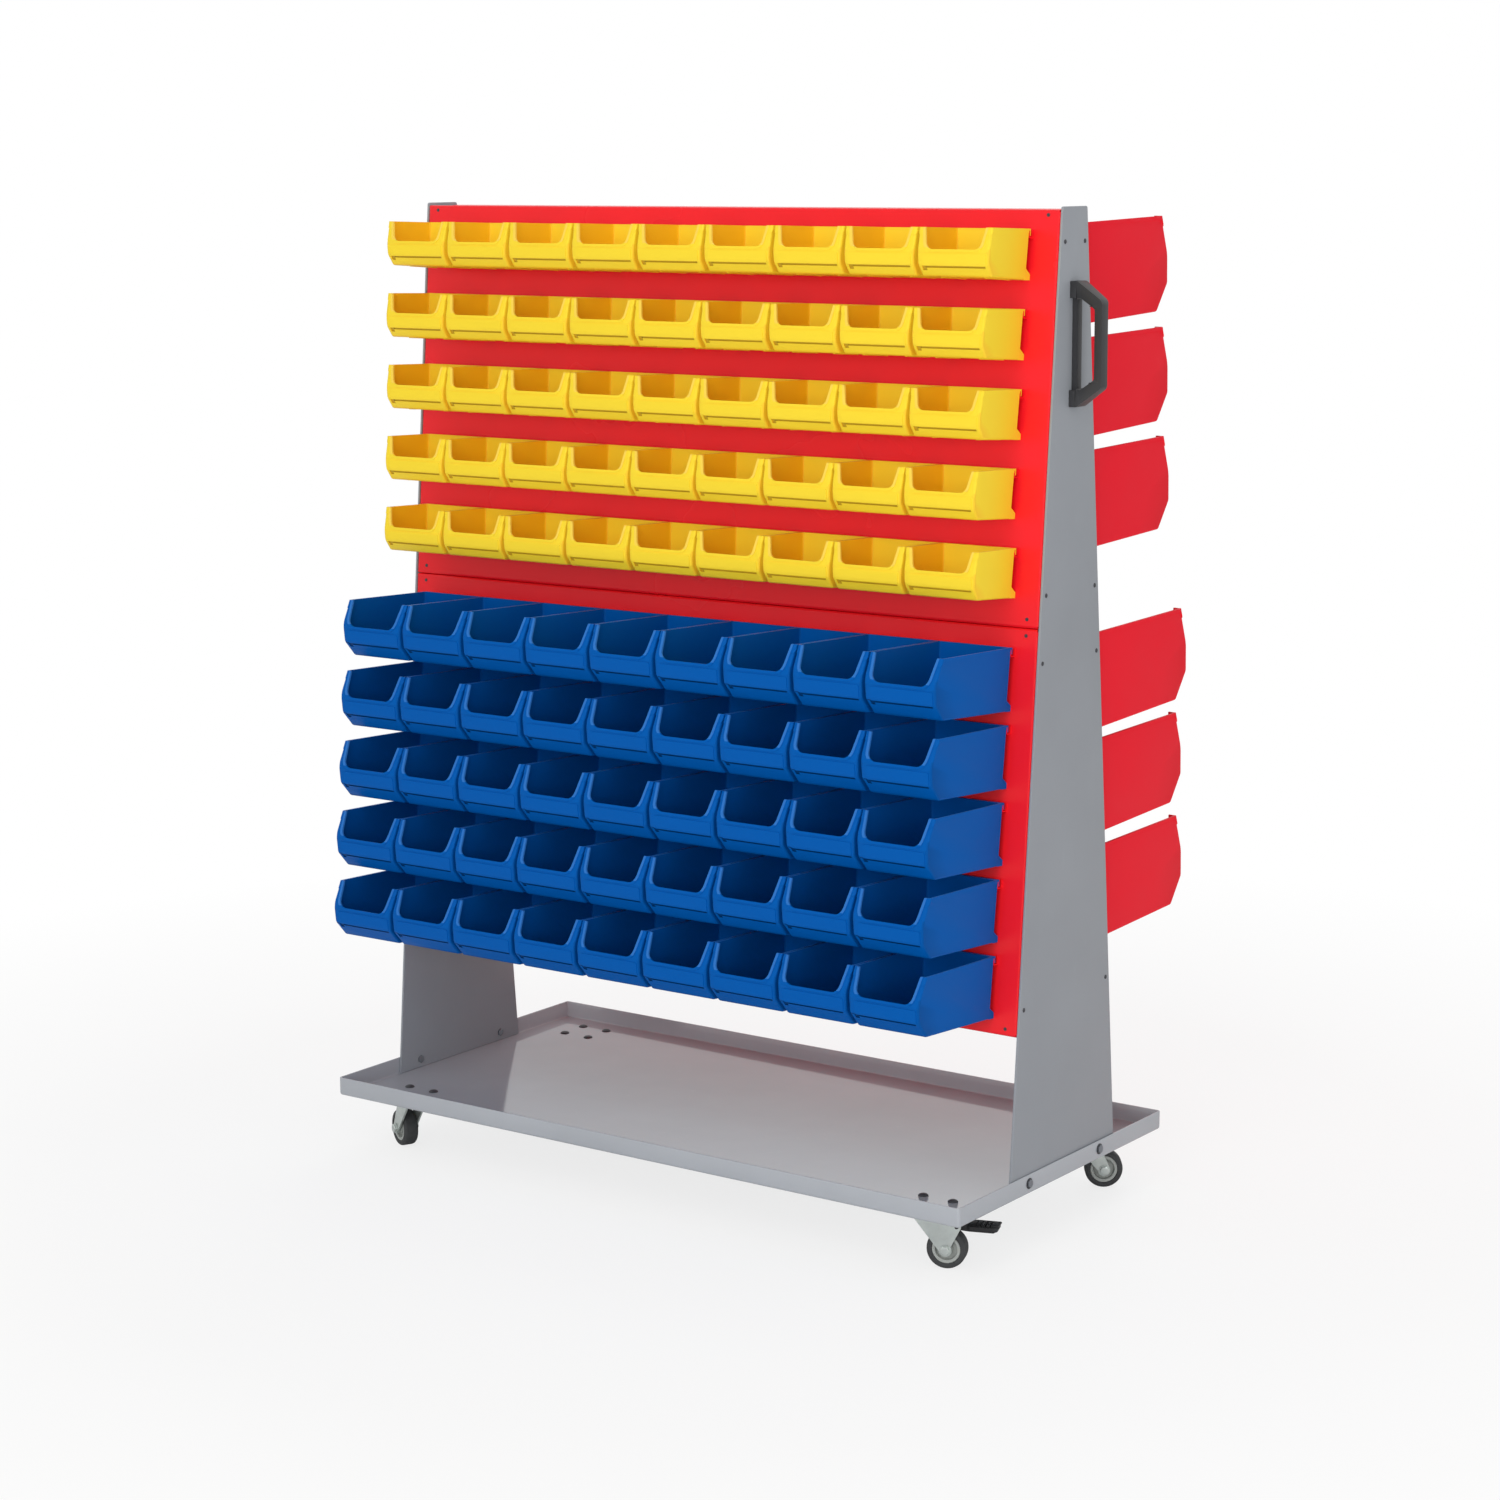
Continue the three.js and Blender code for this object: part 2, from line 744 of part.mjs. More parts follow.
// Hangs one row on a panel: the strip with its bins, and the bin that lifts off where there is one.
// The end bin is always the one at world +X.
function hangRow(leaning, kind, row, { count, gap, shift, hookZ, endSide, liftsOff }) {
  const pitch = kind.width + gap;
  const place = new THREE.Group();
  place.position.set(endSide * shift, 0, hookZ);
  leaning.add(place);
  const body = liftsOff ? binRow(kind, count, pitch) : fullBinRow(kind, count, pitch);
  const faced = endSide > 0 ? body : body.mirror([1, 0, 0]);
  place.add(piece(`${kind.name}_bin_row_${row}`, faced, binFinish[kind.name]));
  if (!liftsOff) return;
  const end = bin(kind, true).translate([(endSide * (count - 1) * pitch) / 2, 0, 0]);
  place.add(piece(`${kind.name}_end_bin_${row}`, end, binFinish[kind.name]));
}

const front = sideGroup(0);
const rear = sideGroup(Math.PI);
cart.add(front.side, rear.side);
const panelTops = [-panelTopGap, -panelTopGap - panelHeight];
for (const [{ leaning }, side] of [[front, "front"], [rear, "rear"]]) {
  leaning.add(piece(`${side}_upper_panel`, foldedPanel(panelTops[0]), redPaint));
  leaning.add(piece(`${side}_lower_panel`, foldedPanel(panelTops[1]), redPaint));
}

yellowRowShifts.forEach((shift, i) => {
  const hookZ = panelTops[0] - firstStripDrop - i * yellowRowPitch;
  const gap = yellowBinGaps[i];
  const row = { count: smallBinsPerRow, gap, shift, hookZ, endSide: 1, liftsOff: true };
  hangRow(front.leaning, yellowBin, i + 1, row);
});
blueRowShifts.forEach((shift, i) => {
  const hookZ = panelTops[1] - firstStripDrop - i * blueRowPitch;
  const gap = blueBinGap;
  const row = { count: smallBinsPerRow, gap, shift, hookZ, endSide: 1, liftsOff: true };
  hangRow(front.leaning, blueBin, i + 1, row);
});

// Three of the six rear rows have an end bin that lifts off
const rearHooks = [
  ...upperRearRowDrops.map((drop) => panelTops[0] - drop),
  ...lowerRearRowDrops.map((drop) => panelTops[1] - drop),
];
rearHooks.forEach((hookZ, i) => {
  const shift = redRowShifts[i];
  const gap = redBinGap;
  const row = { count: largeBinsPerRow, gap, shift, hookZ, endSide: -1, liftsOff: i % 2 === 0 };
  hangRow(rear.leaning, redBin, i + 1, row);
});

for (const { name, x, y, heading, brake } of casters) {
  const place = new THREE.Group();
  place.position.set(x * casterX, y * casterY, 0);
  place.add(piece(`caster_${name}_mount`, casterMount(), zincSteel));
  const swivel = new THREE.Group();
  swivel.rotation.z = THREE.MathUtils.degToRad(heading);
  swivel.add(piece(`caster_${name}_fork`, casterFork(brake), zincSteel));
  swivel.add(piece(`caster_${name}_axle`, casterAxle(), zincSteel));
  swivel.add(piece(`caster_${name}_hub`, casterHub(), hubPlastic));
  swivel.add(piece(`caster_${name}_tyre`, casterTyre(), tyreRubber));
  if (brake) swivel.add(piece(`brake_pedal_${name}`, brakePedal(), blackPlastic));
  place.add(swivel);
  cart.add(place);
}

// The origin is on the floor under the middle of everything, bins included
cart.updateMatrixWorld(true);
const reachBox = new THREE.Box3().setFromObject(cart, true);
const middle = reachBox.getCenter(new THREE.Vector3());
cart.position.set(-middle.x, -middle.y, 0);

export default cart;
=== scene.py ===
import math

import bmesh
import bpy
from mathutils import Matrix, Vector
from mathutils.geometry import intersect_point_line


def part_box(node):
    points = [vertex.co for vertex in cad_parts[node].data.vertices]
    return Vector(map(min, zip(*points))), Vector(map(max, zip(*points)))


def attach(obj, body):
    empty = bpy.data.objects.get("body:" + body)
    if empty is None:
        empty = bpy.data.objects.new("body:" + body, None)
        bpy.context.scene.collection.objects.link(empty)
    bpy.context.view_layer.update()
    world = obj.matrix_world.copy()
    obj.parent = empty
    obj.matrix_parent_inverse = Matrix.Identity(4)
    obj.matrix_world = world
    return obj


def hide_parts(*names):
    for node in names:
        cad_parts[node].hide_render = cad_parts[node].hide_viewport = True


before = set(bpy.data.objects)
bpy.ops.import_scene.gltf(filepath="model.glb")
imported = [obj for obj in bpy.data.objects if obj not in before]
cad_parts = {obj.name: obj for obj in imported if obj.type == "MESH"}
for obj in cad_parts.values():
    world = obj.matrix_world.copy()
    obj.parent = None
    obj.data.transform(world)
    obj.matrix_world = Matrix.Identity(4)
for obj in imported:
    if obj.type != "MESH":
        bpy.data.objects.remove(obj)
scene = bpy.context.scene
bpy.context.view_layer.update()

# Sizes in millimetres, as in the solids
MM = 0.001
GAP = 0.3  # between solids that touch on the real object
OVERLAP = 0.1  # of forms that are joined into one piece
TRAY_LOW, TRAY_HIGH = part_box("base_tray")
SHIFT_X = (TRAY_LOW[0] + TRAY_HIGH[0]) / 2 / MM
SHIFT_Y = (TRAY_LOW[1] + TRAY_HIGH[1]) / 2 / MM
TRAY_LENGTH, TRAY_DEPTH, TRAY_FLANGE, TRAY_SHEET = 1000, 500, 25, 2
TRAY_BOTTOM = 77
TRAY_FLOOR = TRAY_BOTTOM + TRAY_SHEET
TRAY_TOP = TRAY_BOTTOM + TRAY_FLANGE
PLATE_FOOT_Z = TRAY_FLOOR + GAP
PLATE_HEIGHT, PLATE_FOOT, PLATE_TOP, PLATE_SHEET = 1201, 258, 58, 3
PLATE_OUTER = TRAY_LENGTH / 2 - TRAY_SHEET - GAP
PLATE_INNER = PLATE_OUTER - PLATE_SHEET
TILT = math.atan((PLATE_FOOT - PLATE_TOP) / 2 / PLATE_HEIGHT)
APEX_Z = PLATE_FOOT_Z + PLATE_HEIGHT
PANEL_HALF = PLATE_INNER - GAP
PANEL_HEIGHT = 500
PANEL_DROP = 3  # from the top of the end plates to the upper panels
PANEL_TOPS = (-PANEL_DROP, -PANEL_DROP - PANEL_HEIGHT)

# Bins, by kind. Drops go down from the hook line, reaches go out from the panel.
# top, fall: front end of the side walls' top edge. reach, brow: foremost point. sill, sill_drop: lower edge
# of the front. floor, height: front end of the floor, which lies higher at the back by rise. draft: how far
# each side leans in. mouth_top, mouth_low: from the sides to the mouth. mouth: its depth. corner: its lower
# corners. rim: how far the top rims widen a bin. brow_round, edge: rounding of the brow and of all edges.
BIN_KINDS = {
    "yellow": dict(width=102, reach=99, height=61.5, rise=1, top=94, fall=4, brow=34, sill=97, sill_drop=48,
                   floor=86, draft=2, mouth_top=8, mouth_low=14, mouth=30, corner=9, count=9, rim=0.5,
                   brow_round=6, edge=0.55),
    "blue": dict(width=102, reach=177, height=81, rise=3, top=164, fall=7, brow=38, sill=173, sill_drop=62,
                 floor=153, draft=2, mouth_top=7, mouth_low=12, mouth=41, corner=12, count=9, rim=0.5,
                 brow_round=7, edge=0.55),
    "red": dict(width=150, reach=243, height=132, rise=9, top=228, fall=13, brow=62, sill=242, sill_drop=99,
                floor=213, draft=2, mouth_top=9, mouth_low=17, mouth=68, corner=18, count=6, rim=1.2,
                brow_round=6, edge=0.8),
}
STANDOFF = 11  # back wall of a bin, from the panel
PROUD = 0.8  # how far rims and raised faces stand out from a bin's walls
BIN_WALL = 2.0

# Rows, from the top down: gaps between bins, shifts towards the end whose bins lift off, and hook lines
ROW_GAPS = {"yellow": (3, 2.4, 2, 1.5, 2), "blue": (2,) * 5, "red": (6,) * 6}
ROW_SHIFTS = {
    "yellow": (-12, -12, -9, -9, -5),
    "blue": (-3, -3, -3, -4, -4),
    "red": (9, 6, 4, 24, 13, 10),
}
FIRST_HOOK_DROP = 24  # from the top of a front panel
FRONT_ROWS, YELLOW_PITCH, BLUE_PITCH = 5, 95, 94.5
RED_HOOK_DROPS = ((19, 159, 299), (23, 163, 303))  # from the top of each rear panel
HOOK_LINES = {
    "yellow": [PANEL_TOPS[0] - FIRST_HOOK_DROP - YELLOW_PITCH * i for i in range(FRONT_ROWS)],
    "blue": [PANEL_TOPS[1] - FIRST_HOOK_DROP - BLUE_PITCH * i for i in range(FRONT_ROWS)],
    "red": [top - drop for top, drops in zip(PANEL_TOPS, RED_HOOK_DROPS) for drop in drops],
}

SAME = Matrix.Identity(4)
SMOOTH_ANGLE = 32  # degrees between faces that still shade as one


# Meshes
def link(name, mesh):
    made = bpy.data.objects.new(name, mesh)
    scene.collection.objects.link(made)
    return made


def from_bmesh(name, bm):
    bmesh.ops.recalc_face_normals(bm, faces=bm.faces)
    mesh = bpy.data.meshes.new(name)
    bm.to_mesh(mesh)
    bm.free()
    return link(name, mesh)


def prism(points, axis, low, high, draft=None):
    """A closed prism of an outline. axis x takes (y, z) points, y takes (x, z), z takes (x, y).

    draft narrows it in x by so much for each millimetre below z = 0."""
    bm = bmesh.new()

    def corner(a, b, c):
        if axis == "x":
            return (c, a, b)
        if axis == "y":
            return (a, c, b)
        return (a, b, c)

    ends = [[bm.verts.new(corner(a, b, c)) for a, b in points] for c in (low, high)]
    bm.faces.new(ends[0])
    bm.faces.new(ends[1][::-1])
    n = len(points)
    for i in range(n):
        j = (i + 1) % n
        bm.faces.new((ends[0][i], ends[1][i], ends[1][j], ends[0][j]))
    if draft:
        for v in bm.verts:
            v.co.x -= math.copysign(draft * -v.co.z, v.co.x)
    bmesh.ops.recalc_face_normals(bm, faces=bm.faces)
    return bm


def prism_piece(name, points, axis, low, high):
    return from_bmesh(name, prism(points, axis, low, high))


def block(x0, x1, y0, y1, z0, z1):
    return prism([(x0, y0), (x1, y0), (x1, y1), (x0, y1)], "z", z0, z1)


def bevel_edges(bm, choose, width, segments=3):
    edges = [e for e in bm.edges if choose(e)]
    if edges:
        bmesh.ops.bevel(bm, geom=edges, offset=width, segments=segments, profile=0.5,
                        affect="EDGES", clamp_overlap=True)


def settle(obj):
    """Applies the modifiers of an object."""
    graph = bpy.context.evaluated_depsgraph_get()
    graph.update()
    mesh = bpy.data.meshes.new_from_object(obj.evaluated_get(graph))
    obj.modifiers.clear()
    old = obj.data
    obj.data = mesh
    bpy.data.meshes.remove(old)
    return obj


def boolean(obj, tool, operation="DIFFERENCE"):
    step = obj.modifiers.new("cut", "BOOLEAN")
    step.operation = operation
    step.solver = "EXACT"
    step.object = tool
    settle(obj)
    discard(tool)
    return obj


def soften(obj, width, angle, segments=2):
    """Rounds the edges where faces meet at more than an angle in degrees."""
    step = obj.modifiers.new("edge", "BEVEL")
    step.width = width
    step.segments = segments
    step.limit_method = "ANGLE"
    step.angle_limit = math.radians(angle)
    step.use_clamp_overlap = True
    step.miter_outer = "MITER_ARC"
    return settle(obj)


def finish_piece(obj, material, body, place, replaces=()):
    """Puts a piece drawn in millimetres into its place in metres, and sets what it rides on."""
    obj.data.transform(place @ Matrix.Scale(MM, 4))
    obj.data.materials.clear()
    obj.data.materials.append(material)
    obj.data.shade_smooth()
    obj.data.set_sharp_from_angle(angle=math.radians(SMOOTH_ANGLE))
    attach(obj, body)
    if replaces:
        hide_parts(*replaces)
    return obj


def merged(name, parts):
    """One object from several (object, matrix) pairs, whose objects are kept."""
    bm = bmesh.new()
    for obj, matrix in parts:
        copy = obj.data.copy()
        copy.transform(matrix)
        bm.from_mesh(copy)
        bpy.data.meshes.remove(copy)
    mesh = bpy.data.meshes.new(name)
    bm.to_mesh(mesh)
    bm.free()
    return link(name, mesh)


def discard(*objects):
    for obj in objects:
        mesh = obj.data
        bpy.data.objects.remove(obj)
        bpy.data.meshes.remove(mesh)


def spot(x, y, z):
    """A place in a piece that is still drawn in millimetres."""
    return Matrix.Translation((x, y, z))


def joined(name, *objects):
    """One object in place of several."""
    made = merged(name, [(obj, SAME) for obj in objects])
    discard(*objects)
    return made


def lathe(profile, sides, axis):
    """A turned solid from (radius, place along the axis) points."""
    bm = bmesh.new()
    rings = []
    for i in range(sides):
        a = 2 * math.pi * i / sides
        ring = []
        for r, t in profile:
            if axis == "y":
                co = (r * math.sin(a), t, r * math.cos(a))
            else:
                co = (r * math.cos(a), r * math.sin(a), t)
            ring.append(bm.verts.new(co))
        rings.append(ring)
    n = len(profile)
    for i in range(sides):
        a, b = rings[i], rings[(i + 1) % sides]
        for k in range(n):
            m = (k + 1) % n
            bm.faces.new((a[k], a[m], b[m], b[k]))
    bmesh.ops.remove_doubles(bm, verts=bm.verts, dist=1e-5)
    bmesh.ops.recalc_face_normals(bm, faces=bm.faces)
    return bm


def turned(name, profile, sides, axis="z", base=0):
    """A turned piece whose profile starts from a place along its axis."""
    return from_bmesh(name, lathe([(r, base + t) for r, t in profile], sides, axis))


def mirrored(profile):
    """A closed profile from its half at negative places."""
    return profile + [(r, -t) for r, t in reversed(profile)]


def arc(centre, radius, start, end, steps):
    """Points on an arc, from one angle to another in degrees."""
    angles = [math.radians(start + (end - start) * s / steps) for s in range(steps + 1)]
    return [(centre[0] + radius * math.cos(a), centre[1] + radius * math.sin(a)) for a in angles]


def rounded(points, radius, steps=4):
    """An outline with its corners rounded. radius is one number, or one for each corner."""
    n = len(points)
    radii = radius if isinstance(radius, list) else [radius] * n
    longest_share = 0.49  # of an edge that one corner may take
    out = []
    for i, (p, r) in enumerate(zip(points, radii)):
        here = Vector(p)
        back = Vector(points[i - 1]) - here
        on = Vector(points[(i + 1) % n]) - here
        if r <= 0:
            out.append(tuple(here))
            continue
        turn = back.angle(on)
        reach = min(r / math.tan(turn / 2), longest_share * back.length, longest_share * on.length)
        r = reach * math.tan(turn / 2)
        a = here + back.normalized() * reach
        b = here + on.normalized() * reach
        centre = here + (back.normalized() + on.normalized()).normalized() * (r / math.sin(turn / 2))
        start = a - centre
        sweep = -start.angle_signed(b - centre)
        for s in range(steps + 1):
            t = sweep * s / steps
            c, d = math.cos(t), math.sin(t)
            out.append((centre.x + start.x * c - start.y * d, centre.y + start.x * d + start.y * c))
    return out


# Materials
def new_material(name):
    material = bpy.data.materials.new(name)
    material.use_nodes = True
    tree = material.node_tree
    shader = tree.nodes["Principled BSDF"]
    return material, tree, shader


def linear(r, g, b):
    """A screen colour in bytes as the linear colour that nodes take."""
    def one(v):
        v = v / 255
        return v / 12.92 if v <= 0.04045 else ((v + 0.055) / 1.055) ** 2.4
    return (one(r), one(g), one(b), 1)


def shade(rgb, factor):
    return tuple(min(1.0, c * factor) for c in rgb[:3]) + (1,)


def add_node(tree, kind, **values):
    """A shader node and values for its inputs, named with underscores for blanks."""
    node = tree.nodes.new("ShaderNode" + kind)
    for name, value in values.items():
        node.inputs[name.replace("_", " ")].default_value = value
    return node


def noise(tree, scale, detail=3, rough=0.5, stretch=None):
    node = add_node(tree, "TexNoise", Scale=scale, Detail=detail, Roughness=rough)
    coords = add_node(tree, "TexCoord").outputs["Object"]
    if stretch:
        mapping = add_node(tree, "Mapping", Scale=stretch)
        tree.links.new(coords, mapping.inputs["Vector"])
        coords = mapping.outputs["Vector"]
    tree.links.new(coords, node.inputs["Vector"])
    return node.outputs["Fac"]


def ramp(tree, source, stops):
    node = add_node(tree, "ValToRGB")
    tree.links.new(source, node.inputs["Fac"])
    elements = node.color_ramp.elements
    while len(elements) < len(stops):
        elements.new(0.5)
    for element, (place, colour) in zip(elements, stops):
        element.position = place
        element.color = colour
    return node.outputs["Color"]


def blend(tree, factor, a, b):
    node = add_node(tree, "Mix")
    node.data_type = "RGBA"
    sockets = [s for s in node.inputs if s.type == "RGBA"]
    for socket, value in zip(sockets, (a, b)):
        if isinstance(value, tuple):
            socket.default_value = value
        else:
            tree.links.new(value, socket)
    tree.links.new(factor, node.inputs["Factor"])
    return next(s for s in node.outputs if s.type == "RGBA")


def spread(tree, source, low, high, start=0.0, end=1.0):
    """Takes a value from the range start to end into the range low to high."""
    node = add_node(tree, "MapRange", From_Min=start, From_Max=end, To_Min=low, To_Max=high)
    tree.links.new(source, node.inputs["Value"])
    return node.outputs["Result"]


def edge_wear_and_highlight_mask(tree, strength):
    """Bright on outer edges, from the mesh's pointiness. The paler edges it gives stand for wear and for a
    painted highlight.
    """
    geometry = add_node(tree, "NewGeometry")
    return spread(tree, geometry.outputs["Pointiness"], 0.0, strength, start=0.52, end=0.62)


def face_mark(tree, name):
    """A value that the mesh's faces carry."""
    node = add_node(tree, "Attribute")
    node.attribute_name = name
    return node.outputs["Fac"]


def set_surface(tree, shader, colour, roughness):
    tree.links.new(colour, shader.inputs["Base Color"])
    tree.links.new(roughness, shader.inputs["Roughness"])


def bump(tree, shader, source, strength, distance):
    """Fine relief, its distance in metres."""
    node = add_node(tree, "Bump", Strength=strength, Distance=distance)
    tree.links.new(source, node.inputs["Height"])
    tree.links.new(node.outputs["Normal"], shader.inputs["Normal"])


def powder_coat(name, colour, roughness, edge=1.25, orange_peel=0.12, gloss=0.5, scuffs=0.16):
    """Sprayed steel: slight mottle, orange peel, paler edges that are partly wear and partly a painted
    highlight, and faint scuffs.
    """
    material, tree, shader = new_material(name)
    base = linear(*colour)
    cloud = noise(tree, scale=6)
    body = ramp(tree, cloud, [(0.3, shade(base, 0.95)), (0.7, shade(base, 1.04))])
    scuff = noise(tree, scale=60, detail=5, rough=0.7, stretch=(1, 1, 0.25))
    body = blend(tree, spread(tree, scuff, 0.0, scuffs, start=0.62, end=0.75), body, shade(base, 1.3))
    # Paler edges: partly wear and partly a painted highlight along the bends
    body = blend(tree, edge_wear_and_highlight_mask(tree, 0.5), body, shade(base, edge))
    set_surface(tree, shader, body, spread(tree, cloud, roughness - 0.03, roughness + 0.04))
    shader.inputs["Specular IOR Level"].default_value = gloss
    bump(tree, shader, noise(tree, scale=900, detail=2), orange_peel, distance=0.0004)
    return material


def moulded(name, colour, roughness, edge=1.35, grain=0.1, rim=None, inside=None, groove=0.5, gloss=0.45):
    """Injection-moulded plastic: tone that differs a little from bin to bin, soft grain, and pale edges that
    are a painted highlight.

    rim colours the faces marked rim with a painted highlight, inside gives those marked inner a painted tint
    for light bounced inside a bin, and groove darkens those marked groove_shade with a painted shade."""
    material, tree, shader = new_material(name)
    base = linear(*colour)
    geometry = add_node(tree, "NewGeometry")
    lot = ramp(tree, geometry.outputs["Random Per Island"],
               [(0.0, shade(base, 0.97)), (1.0, shade(base, 1.03))])
    flow = noise(tree, scale=14, detail=2)
    body = blend(tree, spread(tree, flow, 0.0, 0.5, start=0.4, end=0.8), lot, shade(base, 1.08))
    rub = noise(tree, scale=90, detail=4, rough=0.7)
    body = blend(tree, spread(tree, rub, 0.0, 0.12, start=0.6, end=0.72), body, shade(base, 0.8))
    # Paler edges: a painted highlight
    body = blend(tree, edge_wear_and_highlight_mask(tree, 0.55), body, shade(base, edge))
    # Painted light on marked faces: the rim tone is a painted highlight, the groove tone a painted shade,
    # and the inside tone a painted tint for light bounced inside a bin.
    if rim:
        # The groove tone is painted shade: groove scales the base colour down on the groove's faces.
        tones = {"rim": linear(*rim), "groove_shade": shade(base, groove), "inner": linear(*(inside or colour))}
        for mark, tone in tones.items():
            body = blend(tree, face_mark(tree, mark), body, tone)
    set_surface(tree, shader, body, spread(tree, flow, roughness - 0.06, roughness + 0.08))
    shader.inputs["Specular IOR Level"].default_value = gloss
    bump(tree, shader, noise(tree, scale=1500, detail=2), grain, distance=0.0002)
    return material


def plated(name, colour, roughness=0.3):
    """Zinc plate: bright, with cloudy patches and fine drawn lines."""
    material, tree, shader = new_material(name)
    base = linear(*colour)
    cloud = noise(tree, scale=40, detail=4, rough=0.6)
    body = ramp(tree, cloud, [(0.25, shade(base, 0.82)), (0.55, base), (0.8, shade(base, 1.12))])
    shader.inputs["Metallic"].default_value = 0.75
    set_surface(tree, shader, body, spread(tree, cloud, roughness - 0.08, roughness + 0.16))
    bump(tree, shader, noise(tree, scale=700, stretch=(1, 1, 6)), 0.1, distance=0.0002)
    return material


def rubbery(name, colour):
    """Rubber with a little dust and paler rubbed edges."""
    material, tree, shader = new_material(name)
    base = linear(*colour)
    dust = noise(tree, scale=70, detail=5, rough=0.65)
    body = ramp(tree, dust, [(0.35, base), (0.75, shade(base, 1.7))])
    body = blend(tree, edge_wear_and_highlight_mask(tree, 0.6), body, shade(base, 2.2))
    set_surface(tree, shader, body, spread(tree, dust, 0.6, 0.85))
    bump(tree, shader, noise(tree, scale=400, detail=4), 0.25, distance=0.0003)
    return material


# The grey and red coats get paler edges than the default: painted highlights on their bends
GREY = powder_coat("grey_powder_coat", (148, 152, 158), 0.36, edge=1.45, gloss=0.35)
TRAY_GREY = powder_coat("grey_gloss_coat", (174, 178, 184), 0.08, orange_peel=0.02)
RED = powder_coat("red_powder_coat", (249, 26, 37), 0.26, edge=1.4, orange_peel=0.01, gloss=0.28,
                  scuffs=0.03)
# The rim colours are painted highlights on the bins' rims: paler on the yellow and blue bins, a touch darker
# on the red ones.
YELLOW = moulded("yellow_bin_plastic", (253, 205, 48), 0.4, rim=(255, 218, 84), inside=(255, 200, 34),
                 groove=0.62, gloss=0.2)
# The inside colours are a painted tint for light bounced inside the bins: more orange in the yellow ones,
# lighter in the blue ones.
BLUE = moulded("blue_bin_plastic", (0, 80, 156), 0.42, edge=1.5, rim=(50, 118, 198), inside=(2, 87, 167),
               gloss=0.06)
RED_BIN = moulded("red_bin_plastic", (240, 26, 44), 0.45, rim=(226, 34, 48), gloss=0.06)
ZINC = plated("zinc_plated_steel", (205, 212, 208))
DULL = plated("dull_zinc", (132, 136, 142), 0.5)
HUB = moulded("grey_wheel_plastic", (168, 172, 168), 0.5)
TYRE = rubbery("grey_rubber", (52, 53, 54))
# The black and handle plastics get strongly paler edges: painted highlights on their bevels
BLACK = moulded("black_plastic", (26, 26, 28), 0.45, edge=1.9, grain=0.3)
GRIP = moulded("handle_plastic", (46, 46, 48), 0.42, edge=1.7, grain=0.3)
DARK = powder_coat("dark_steel", (54, 55, 60), 0.5)
BIN_MATERIAL = {"yellow": YELLOW, "blue": BLUE, "red": RED_BIN}


# Places, in metres
def moved(x, y, z):
    """A move by millimetres."""
    return Matrix.Translation((x * MM, y * MM, z * MM))


ROOT = moved(SHIFT_X, SHIFT_Y, 0)


def side_place(rear):
    """Where a side's panels hang: x along them, y inwards, z up their lean, from the end plates' top."""
    turn = Matrix.Rotation(math.pi if rear else 0, 4, "Z")
    return ROOT @ turn @ moved(0, -PLATE_TOP / 2, APEX_Z) @ Matrix.Rotation(-TILT, 4, "X")


SIDES = {"front": side_place(False), "rear": side_place(True)}


# Bins
CUT_ABOVE, CUT_AHEAD = 12, 20  # how far cutting tools reach over and in front of a bin
NEAR = 1.0  # how close to a line or a place counts as on it
BACK_ZONE, TOP_ZONE = 20, 5  # next to the back wall and the hook line, where cross edges stay sharp
SILL_ROUND, FLOOR_ROUND, SIDE_ROUND = 2.5, 2.0, 2.6
INNER_FLOOR_ROUND, INNER_SIDE_ROUND = 4.0, 3.0
MOUTH_ABOVE, MOUTH_INTO = 14, 12  # the mouth's cut, up and back from the top edge's front end
MOUTH_RIM, TOP_RIM = 3.2, 5.0
TOP_RIM_SHARE = 0.6  # of what the other rims stand out
BAND_OVER, BAND_AHEAD, BAND_BEND = 5, 9, 1.5  # the top rims' tool: over the bin, ahead of it, and its bend
LABEL_LEFT, LABEL_RIGHT, LABEL_ROUND = 9, 5, 2.0
LABEL_UNDER_SILL, LABEL_UNDER_MOUTH, LABEL_INTO = 1.5, 5.5, 14
GROOVE_DEPTH, GROOVE_OUT = 2.3, 3
GROOVE_LEFT, GROOVE_RIGHT, GROOVE_HIGH, GROOVE_LOW = 12, 7, 1.5, 3.6
NOTCH_LEFT, NOTCH_RIGHT, NOTCH_LOW = 7, 13, 6.5  # the first two from the bin's left side
RUNNER_HALF, RUNNER_HIGH, RUNNER_BACK, RUNNER_FRONT = 1.5, 0.9, 18, 16
RUNNER_SHARE = 0.3  # of a bin's width, from its middle


def along_x(edge):
    move = edge.verts[0].co - edge.verts[1].co
    return max(abs(move.y), abs(move.z)) < 1e-4


def on_side_wall(edge):
    """An edge of a side wall that doesn't run across the bin."""
    facing = 0.95  # least x of a side wall's normal
    return (len(edge.link_faces) == 2 and not along_x(edge)
            and any(abs(f.normal.x) > facing for f in edge.link_faces))


def floor_drop(k, y):
    """How far the underside of a bin lies below its hook line: it is lower at the front than at the back."""
    return k["height"] - k["rise"] * (1 - (-y - GAP) / (k["floor"] - GAP))


def band_slope(k):
    """How far the band under the sill goes back for each millimetre down."""
    return (k["sill"] - k["floor"]) / (k["height"] - k["sill_drop"])


def front_corners(k, inset, rise=0):
    """The front of a bin in its side view, from the floor up."""
    return [(-k["floor"] + inset, -k["height"] + rise), (-k["sill"] + inset, -k["sill_drop"]),
            (-k["reach"] + inset, -k["brow"]), (-k["top"] + inset, -k["fall"])]


